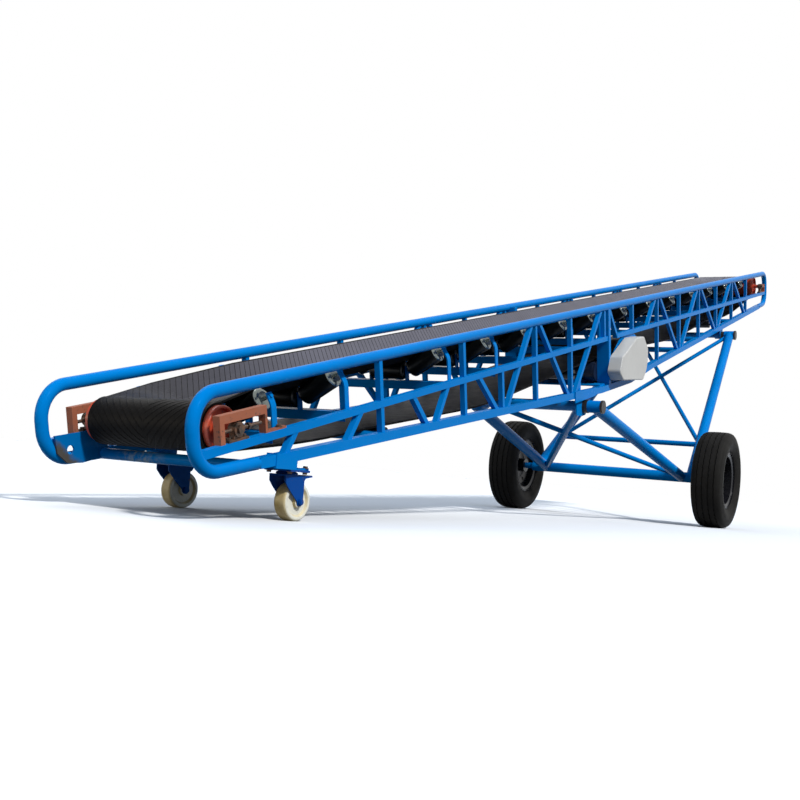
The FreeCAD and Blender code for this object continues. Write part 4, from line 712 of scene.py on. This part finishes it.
def belt_stations():
    """Sections from under the tail drum, over the idlers, to under the head drum.

    Returns them with the length of belt before each one.
    """
    def wrap(drum, towards, flat, start, end):
        u, w, radius = drum
        outer = radius + SEAT + BELT_THICK
        for step in range(WRAP_STEPS + 1):
            angle = start + (end - start) * step / WRAP_STEPS
            up = ALONG * (towards * math.cos(angle)) + SQUARE * math.sin(angle)
            yield belt_section(truss_point(u, 0, w) + up * outer, up, 0.0, flat)

    def leave(drum, reach):
        fall = TROUGH_W - drum[1]
        return math.atan2(fall, reach) + math.acos((drum[2] + SEAT) / math.hypot(reach, fall))

    def trough(u, angle, flat):
        return belt_section(truss_point(u, 0, TROUGH_W + BELT_THICK), SQUARE, angle, flat)

    stations = list(wrap(TAIL, 1, ENTRY[1], WRAP_END, leave(TAIL, IDLERS[0] - TAIL[0])))
    stations += [trough(IDLERS[0], *ENTRY), trough(IDLERS[1], *TROUGH),
                 trough(TROUGH_END, *TROUGH)]
    stations += wrap(HEAD, -1, TROUGH[1], leave(HEAD, HEAD[0] - TROUGH_END), WRAP_END)
    lengths = [0.0]
    for before, after in zip(stations, stations[1:]):
        lengths.append(lengths[-1] + (after(0.0)[0] - before(0.0)[0]).length)
    return stations, lengths


def belt_ribs(sizes):
    """Low chevron pads on the belt's carrying side, their arms swept forward."""
    stations, lengths = belt_stations()

    def surface(s, y):
        s = min(max(s, 0.0), lengths[-1] - 1e-6)
        index = bisect.bisect_right(lengths, s) - 1
        share = (s - lengths[index]) / (lengths[index + 1] - lengths[index])
        first, second = stations[index](y), stations[index + 1](y)
        return first[0].lerp(second[0], share), first[1].lerp(second[1], share).normalized()

    foot = sizes.rib_width / 2 + RIB_SLOPE
    straight = lengths[WRAP_STEPS + 1], lengths[-WRAP_STEPS - 2]
    shell = bmesh.new()
    centre = -RIB_EDGE * RIB_SWEEP
    while centre < lengths[-1]:
        start = max(RIB_TIP, (foot - centre) / RIB_SWEEP)
        end = min(RIB_EDGE, (lengths[-1] - foot - centre) / RIB_SWEEP)
        inside = straight[0] < centre and centre + RIB_EDGE < straight[1]
        if end - start > RIB_LEAST:
            count = RIB_SPANS if inside else 1 + int((end - start) / RIB_STEP)
            steps = [start + (end - start) * k / count for k in range(count + 1)]
            if start < FOLD < end:
                steps = sorted(set(steps) | {FOLD})
            for side in (-1, 1):
                add_pad(shell, surface, centre, side, steps, sizes)
        centre += sizes.rib_pitch
    return mesh_of("belt_ribs", shell)


def add_pad(shell, surface, centre, side, steps, sizes):
    """One arm of a chevron, with sloping sides and closed ends."""
    top = sizes.rib_width / 2
    foot = top + RIB_SLOPE
    profile = ((-foot, -RIB_SUNK), (-top, sizes.rib_height), (top, sizes.rib_height),
               (foot, -RIB_SUNK))
    rows = []
    for y in steps:
        row = []
        for offset, rise in profile:
            place, normal = surface(centre + y * RIB_SWEEP + offset, side * y)
            row.append(shell.verts.new(place + normal * rise))
        rows.append(row)
    for row, following in zip(rows, rows[1:]):
        for k in range(3):
            shell.faces.new((row[k], row[k + 1], following[k + 1], following[k]))
    shell.faces.new(rows[0])
    shell.faces.new(rows[-1][::-1])


# ------------------------------------------------------------------ tyres and castors
def tyre_profile(groove):
    """Outline of a ribbed road tyre, bead to bead, and which of its points are the tread.

    The outline holds (across, radius) pairs.
    """
    side = [(-0.0677, 0.1828), (-0.0757, 0.2065), (-0.0843, 0.2065), (-0.0905, 0.2120),
            (-0.1035, 0.2300), (-0.1100, 0.2560), (-0.1112, 0.2575), (-0.1112, 0.2610),
            (-0.1126, 0.2630), (-0.1129, 0.2840), (-0.1116, 0.2960), (-0.1096, 0.3010),
            (-0.1080, 0.3070), (-0.1060, 0.3170), (-0.1010, 0.3290), (-0.0935, 0.3375),
            (-0.0830, 0.3435)]
    tread = []
    for centre in TREAD_GROOVES:
        for aside, depth in ((-0.0048, 0.0004), (-0.0034, groove), (0.0034, groove),
                             (0.0048, 0.0004)):
            across = centre + aside
            tread.append((across, TREAD_RADIUS - TREAD_CROWN * across * across - depth))
    outline = side + tread + [(-across, radius) for across, radius in reversed(side)]
    return outline, range(len(side), len(side) + len(tread))


def castor_places(side):
    """Swivel of a castor at floor level, top of its shelf and underside of its plate."""
    low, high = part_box("castor_plates")
    inset_x, inset_y = CASTOR_INSET
    aside = low[1] + inset_y if side < 0 else high[1] - inset_y
    return Vector((low[0] + inset_x, aside, 0)), high[2] + SHELF_THICK, low[2]


# ------------------------------------------------------------------ stage
FLOOR_REACH, SUN_DISTANCE = 60.0, 12.0
# heading and height of each sun, its strength and how wide it is; angles in degrees
SUNS = {"key": (248.0, 42.0, 3.1, 6.0), "rim": (60.0, 55.0, 0.4, 30.0)}
STRIP_PLACE, STRIP_TARGET = Vector((-8.9, 4.4, 0.95)), Vector((-4.4, 0.0, 0.45))
SENSOR_WIDTH, CLIP_END = 36.0, 200.0


def direction(heading, rise):
    """The unit vector with a heading from +X towards +Y and a rise above level."""
    return Vector((math.cos(heading) * math.cos(rise), math.sin(heading) * math.cos(rise),
                   math.sin(rise)))


def add_floor(scene, colours):
    """A level floor, which shows paler than the light it throws back."""
    reach = FLOOR_REACH
    mesh = bpy.data.meshes.new("floor")
    mesh.from_pydata([(-reach, -reach, 0), (reach, -reach, 0), (reach, reach, 0),
                      (-reach, reach, 0)], [], [(0, 1, 2, 3)])
    material, tree, shader = shader_nodes("pale_floor")
    tone = blend_colour(tree, shown_ray(tree), tuple(colours.floor_tone), SHOWN_FLOOR)
    tree.links.new(tone, shader.inputs["Base Color"])
    shader.inputs["Roughness"].default_value = 0.9
    set_gloss(shader, 0.0)
    paint(mesh, material)
    floor = bpy.data.objects.new("floor", mesh)
    scene.collection.objects.link(floor)


def add_world(scene, colours):
    """Light from all round, behind a plain backdrop."""
    world = bpy.data.worlds.new("studio")
    world.use_nodes = True
    tree = world.node_tree
    sky = tree.nodes["Background"]
    upwards = axis_part(tree, add(tree, "ShaderNodeTexCoord").outputs["Generated"], "Z")
    tone = blend_colour(tree, ramp(tree, upwards, 0.0, 0.8), tuple(colours.sky_low),
                        tuple(colours.sky_high))
    tone = blend_colour(tree, shown_ray(tree), tone, tuple(colours.backdrop))
    tree.links.new(tone, sky.inputs["Color"])
    sky.inputs["Strength"].default_value = 1.0
    scene.world = world


def add_lamp(scene, name, kind, place, target, **settings):
    """A light at place that shines towards target."""
    light = bpy.data.lights.new(name, kind)
    for key, value in settings.items():
        setattr(light, key, value)
    lamp = bpy.data.objects.new(name, light)
    lamp.location = place
    lamp.rotation_euler = (target - place).to_track_quat("-Z", "Y").to_euler()
    scene.collection.objects.link(lamp)


def add_camera(scene, view):
    """The camera, aimed by its heading and rise, then rolled."""
    camera = bpy.data.cameras.new("camera")
    camera.sensor_width = SENSOR_WIDTH
    camera.lens = view.lens
    camera.clip_end = CLIP_END
    ahead = direction(view.heading, view.rise)
    level = Vector((math.sin(view.heading), -math.cos(view.heading), 0.0))
    upward = level.cross(ahead)
    right = level * math.cos(view.roll) + upward * math.sin(view.roll)
    top = upward * math.cos(view.roll) - level * math.sin(view.roll)
    pose = Matrix((right, top, -ahead)).transposed().to_4x4()
    pose.translation = Vector(view.eye)
    eye = bpy.data.objects.new("camera", camera)
    eye.matrix_world = pose
    scene.collection.objects.link(eye)
    scene.camera = eye


# ------------------------------------------------------------------ operators
class CONVEYOR_OT_stage(bpy.types.Operator):
    """Sets the floor, the light and the camera"""
    bl_idname = "conveyor.stage"
    bl_label = "Stage"

    def execute(self, context):
        scene = context.scene
        add_floor(scene, scene.conveyor_colours)
        add_world(scene, scene.conveyor_colours)
        for name, (heading, height, power, wide) in SUNS.items():
            place = direction(math.radians(heading), math.radians(height)) * SUN_DISTANCE
            add_lamp(scene, name, "SUN", place, Vector(), energy=power,
                     angle=math.radians(wide))
        add_lamp(scene, "strip", "AREA", STRIP_PLACE, STRIP_TARGET, shape="RECTANGLE",
                 size=3.2, size_y=0.8, energy=70.0, color=(1.0, 0.86, 0.62))
        add_camera(scene, scene.conveyor_view)
        scene.view_settings.view_transform = "Standard"
        return {"FINISHED"}


class CONVEYOR_OT_finishes(bpy.types.Operator):
    """Makes the materials and paints every CAD node"""
    bl_idname = "conveyor.finishes"
    bl_label = "Finishes"

    def execute(self, context):
        colours, sizes = context.scene.conveyor_colours, context.scene.conveyor_sizes
        blue, belt_tone = tuple(colours.frame_paint), tuple(colours.belt_rubber)
        belt_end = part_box("belt")[0][0]
        MATERIALS.update({
            "frame": enamel("frame_enamel", blue, 0.22, dust_and_sheen=0.02, gloss=0.02,
                            tint=AZURE_GLINT),
            "tube": pale_patch_tube("tube_enamel", blue),
            # the gusset's enamel is the frame blue darkened to 0.7: painted shade under the
            # tail
            "gusset": worn_plate("worn_enamel", shade(blue, 0.7)),
            "castor": enamel("castor_enamel", tuple(colours.castor_paint), 0.30, dust_and_sheen=0.06,
                             chips=0.03, gloss=0.10, tint=AZURE_GLINT),
            "primer": enamel("primer_enamel", tuple(colours.primer), 0.55, dust_and_sheen=0.3,
                             chips=0.05, gloss=0.15),
            "drum": enamel("drum_enamel", tuple(colours.drum_paint), 0.34, dust_and_sheen=0.3,
                           chips=0.05, gloss=0.4),
            "guard": enamel("guard_enamel", tuple(colours.guard_paint), 0.40, dust_and_sheen=0.12),
            "rim": enamel("rim_enamel", RIM_BLACK, 0.26, dust_and_sheen=0.03, gloss=0.35),
            "roller": roller_finish("roller_enamel"),
            "motor": enamel("motor_enamel", MOTOR_BLUE, 0.4, dust_and_sheen=0.15),
            # inside, the pivots take the frame blue darkened to 0.9: painted shade on the cross
            # tube
            "pivot": enamel("pivot_steel", PIVOT_BROWN, 0.42, dust_and_sheen=0.15, chips=0.04,
                            gloss=0.3, inside=(PIVOT_INNER, shade(blue, 0.9))),
            "zinc": bare_metal("zinc_plate", ZINC, 0.30, rust=0.02),
            "dark_steel": bare_metal("dark_steel", DARK_STEEL, 0.42, rust=0.20),
            "nylon": nylon("cast_nylon", tuple(colours.nylon)),
            "tyre": rubber("tyre_rubber", tuple(colours.tyre_rubber), 0.66),
            "belt": belt_material("belt_rubber", belt_tone, sizes.rib_pitch),
            # the chevrons carry a painted sky sheen on their upward faces, from 0.03 m to 1.3 m
            # past the belt's tail end
            "rib": rubber("rib_rubber", belt_tone, 0.36, gloss=0.035,
                          dust_and_sheen=(BELT_SKY_SHEEN, belt_end + 0.03, belt_end + 1.3)),
        })
        for entry in frame["record"]["subparts"]:
            key = NODE_FINISH.get(entry["node"], SLOT_FINISH[entry["material_slot"]])
            paint(NODES[entry["node"]].data, MATERIALS[key])
        return {"FINISHED"}


class CONVEYOR_OT_belt_ribs(bpy.types.Operator):
    """Raises the chevrons of the belt"""
    bl_idname = "conveyor.belt_ribs"
    bl_label = "Belt chevrons"

    def execute(self, context):
        mesh = belt_ribs(context.scene.conveyor_sizes)
        finish_piece("belt_ribs", mesh, "frame", MATERIALS["rib"])
        return {"FINISHED"}


class CONVEYOR_OT_tyres(bpy.types.Operator):
    """Makes the ribbed road tyres"""
    bl_idname = "conveyor.tyres"
    bl_label = "Road tyres"

    def execute(self, context):
        outline, tread = tyre_profile(context.scene.conveyor_sizes.groove_depth)

        def zigzag(index, step):
            return ZIGZAG * (1 if step % 4 < 2 else -1) if index in tread else 0.0

        for _, word in SIDES:
            mesh = turned_mesh("ribbed_tyre_" + word, outline, middle("tyre_" + word),
                               TYRE_STEPS, True, zigzag)
            piece = finish_piece("ribbed_tyre_" + word, mesh, "wheel_" + word,
                                 MATERIALS["tyre"])
            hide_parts("tyre_" + word)
        return {"FINISHED"}


class CONVEYOR_OT_bolts(bpy.types.Operator):
    """Sets the bolts and nuts of wheels, castors, drums and idlers"""
    bl_idname = "conveyor.bolts"
    bl_label = "Bolts"

    def execute(self, context):
        frame_spots, shaft_nuts, idler_nuts = [], [], []
        for side, word in SIDES:
            outwards = ACROSS * side
            hub = middle("rim_" + word) - outwards * STUD_SUNK
            studs = []
            for step in range(STUDS):
                angle = math.radians(360 / STUDS * (step + 0.5))
                reach = LEVEL * math.cos(angle) + UPWARD * math.sin(angle)
                studs.append((hub + reach * STUD_RING, outwards))
            bolts("wheel_bolts_" + word, studs, "wheel_" + word, WHEEL_BOLT,
                  "zinc")

            swivel, top, under = castor_places(side)
            for ahead in (-CASTOR_BOLTS[0], CASTOR_BOLTS[0]):
                for aside in (-CASTOR_BOLTS[1], CASTOR_BOLTS[1]):
                    place = swivel + Vector((ahead, aside, 0))
                    frame_spots.append((place + UPWARD * top, UPWARD))
                    frame_spots.append((place + UPWARD * under, -UPWARD))

            for u, w, _ in (TAIL, HEAD):
                shaft_nuts.append((truss_point(u, side * SHAFT_END_Y, w), outwards))
                for ahead in (-BEARING_BOLT, BEARING_BOLT):
                    foot = truss_point(u + ahead, side * BEARING_Y, BEARING_FOOT_W)
                    frame_spots.append((foot, SQUARE))
            u, y, w = FIRST_FOOT
            frame_spots.append((truss_point(u, side * y, w), SQUARE))

            for (angle, _), places in ((ENTRY, IDLERS[:1]), (TROUGH, IDLERS[1:])):
                cos, sin = math.cos(angle), math.sin(angle)
                facing = ACROSS * (side * cos) + SQUARE * sin
                start_w = CENTRE_W + ROLLER_RADIUS * (1 - cos)
                for u in places:
                    tip = truss_point(u, side * (WING_START + WING_NUT * cos),
                                      start_w + WING_NUT * sin)
                    idler_nuts.append((tip, facing))
        frame_bolt = (context.scene.conveyor_sizes.bolt_width, FRAME_BOLT_HIGH)
        bolts("frame_bolts", frame_spots, "frame", frame_bolt, "dark_steel")
        bolts("shaft_nuts", shaft_nuts, "frame", SHAFT_NUT, "dark_steel")
        bolts("idler_nuts", idler_nuts, "frame", IDLER_NUT, "frame")
        return {"FINISHED"}


class CONVEYOR_OT_fittings(bpy.types.Operator):
    """Adds the tension screws, brake grips and flange bearings"""
    bl_idname = "conveyor.fittings"
    bl_label = "Small fittings"

    def execute(self, context):
        truss_axes = (ALONG, ACROSS, SQUARE)
        nut = [(0.0, 0.004), (0.0, 0.013), (0.011, 0.013), (0.011, 0.004)]
        thread = []
        for k in range(THREADS):
            thread += [(THREAD_PITCH * k, THREAD_RADIUS),
                       (THREAD_PITCH * (k + 0.5), THREAD_RADIUS - THREAD_DEPTH)]
        screws, flanges = [], []
        for side, word in SIDES:
            start = truss_point(TAIL[0] - SCREW_BACK, side * BEARING_Y, TAIL[1])
            screws.append(turned_mesh("screw", thread, start, 12, axes=truss_axes))
            for u in SCREW_NUTS:
                place = truss_point(u, side * BEARING_Y, TAIL[1])
                screws.append(turned_mesh("nut", nut, place, 6, axes=truss_axes))

            for u, w, size in DRIVE_SHAFTS:
                face = truss_point(u, side * DRIVE_FACE_Y, w)
                disc = [(0.0, 0.004), (0.0, size), (0.006, size - 0.003), (0.007, size * 0.62),
                        (0.013, size * 0.55), (0.014, 0.0)]
                outline = [(side * out, radius) for out, radius in disc]
                flanges.append(turned_mesh("flange", outline, face, 32))

            swivel, turn = castor_places(side)[0], CASTOR_TURN[word]
            ahead = Vector((math.cos(turn), -math.sin(turn), 0))
            aside = Vector((math.sin(turn), math.cos(turn), 0))
            halves = [axis * half for axis, half in zip((ahead, aside, UPWARD), GRIP_HALVES)]
            first = swivel + ahead * GRIP_START + UPWARD * GRIP_HIGH
            grips = [(first + ahead * (GRIP_STEP * k), halves) for k in range(GRIPS)]
            finish_piece("brake_grips_" + word, blocks_mesh("brake_grips_" + word, grips),
                         "castor_" + word, MATERIALS["dark_steel"])
        for name, meshes in (("tension_screws", screws), ("flange_bearings", flanges)):
            finish_piece(name, joined(name, meshes), "frame", MATERIALS["dark_steel"])
        return {"FINISHED"}


class CONVEYOR_PT_panel(bpy.types.Panel):
    """Sizes, colours and steps of the conveyor's looks"""
    bl_idname = "CONVEYOR_PT_panel"
    bl_label = "Conveyor"
    bl_space_type = "VIEW_3D"
    bl_region_type = "UI"
    bl_category = "Conveyor"

    def draw(self, context):
        layout = self.layout
        for group in GROUPS:
            settings = getattr(context.scene, group)
            box = layout.box()
            for key in settings.__annotations__:
                box.prop(settings, key)
        for step in STEPS:
            layout.operator(step.bl_idname)


GROUPS = {"conveyor_colours": ConveyorColours, "conveyor_sizes": ConveyorSizes,
          "conveyor_view": ConveyorView}
STEPS = (CONVEYOR_OT_stage, CONVEYOR_OT_finishes, CONVEYOR_OT_belt_ribs, CONVEYOR_OT_tyres,
         CONVEYOR_OT_bolts, CONVEYOR_OT_fittings)


def register():
    """Registers the settings, steps and panel."""
    for group in GROUPS.values():
        bpy.utils.register_class(group)
    for step in STEPS:
        bpy.utils.register_class(step)
    bpy.utils.register_class(CONVEYOR_PT_panel)
    for name, group in GROUPS.items():
        setattr(bpy.types.Scene, name, bpy.props.PointerProperty(type=group))


def unregister():
    """Takes back what register() did."""
    for name in GROUPS:
        delattr(bpy.types.Scene, name)
    bpy.utils.unregister_class(CONVEYOR_PT_panel)
    for step in reversed(STEPS):
        bpy.utils.unregister_class(step)
    for group in reversed(list(GROUPS.values())):
        bpy.utils.unregister_class(group)


def main():
    """Runs every step."""
    register()
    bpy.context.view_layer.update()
    bpy.ops.conveyor.stage()
    bpy.ops.conveyor.finishes()
    bpy.ops.conveyor.belt_ribs()
    bpy.ops.conveyor.tyres()
    bpy.ops.conveyor.bolts()
    bpy.ops.conveyor.fittings()


if __name__ == "__main__":
    main()
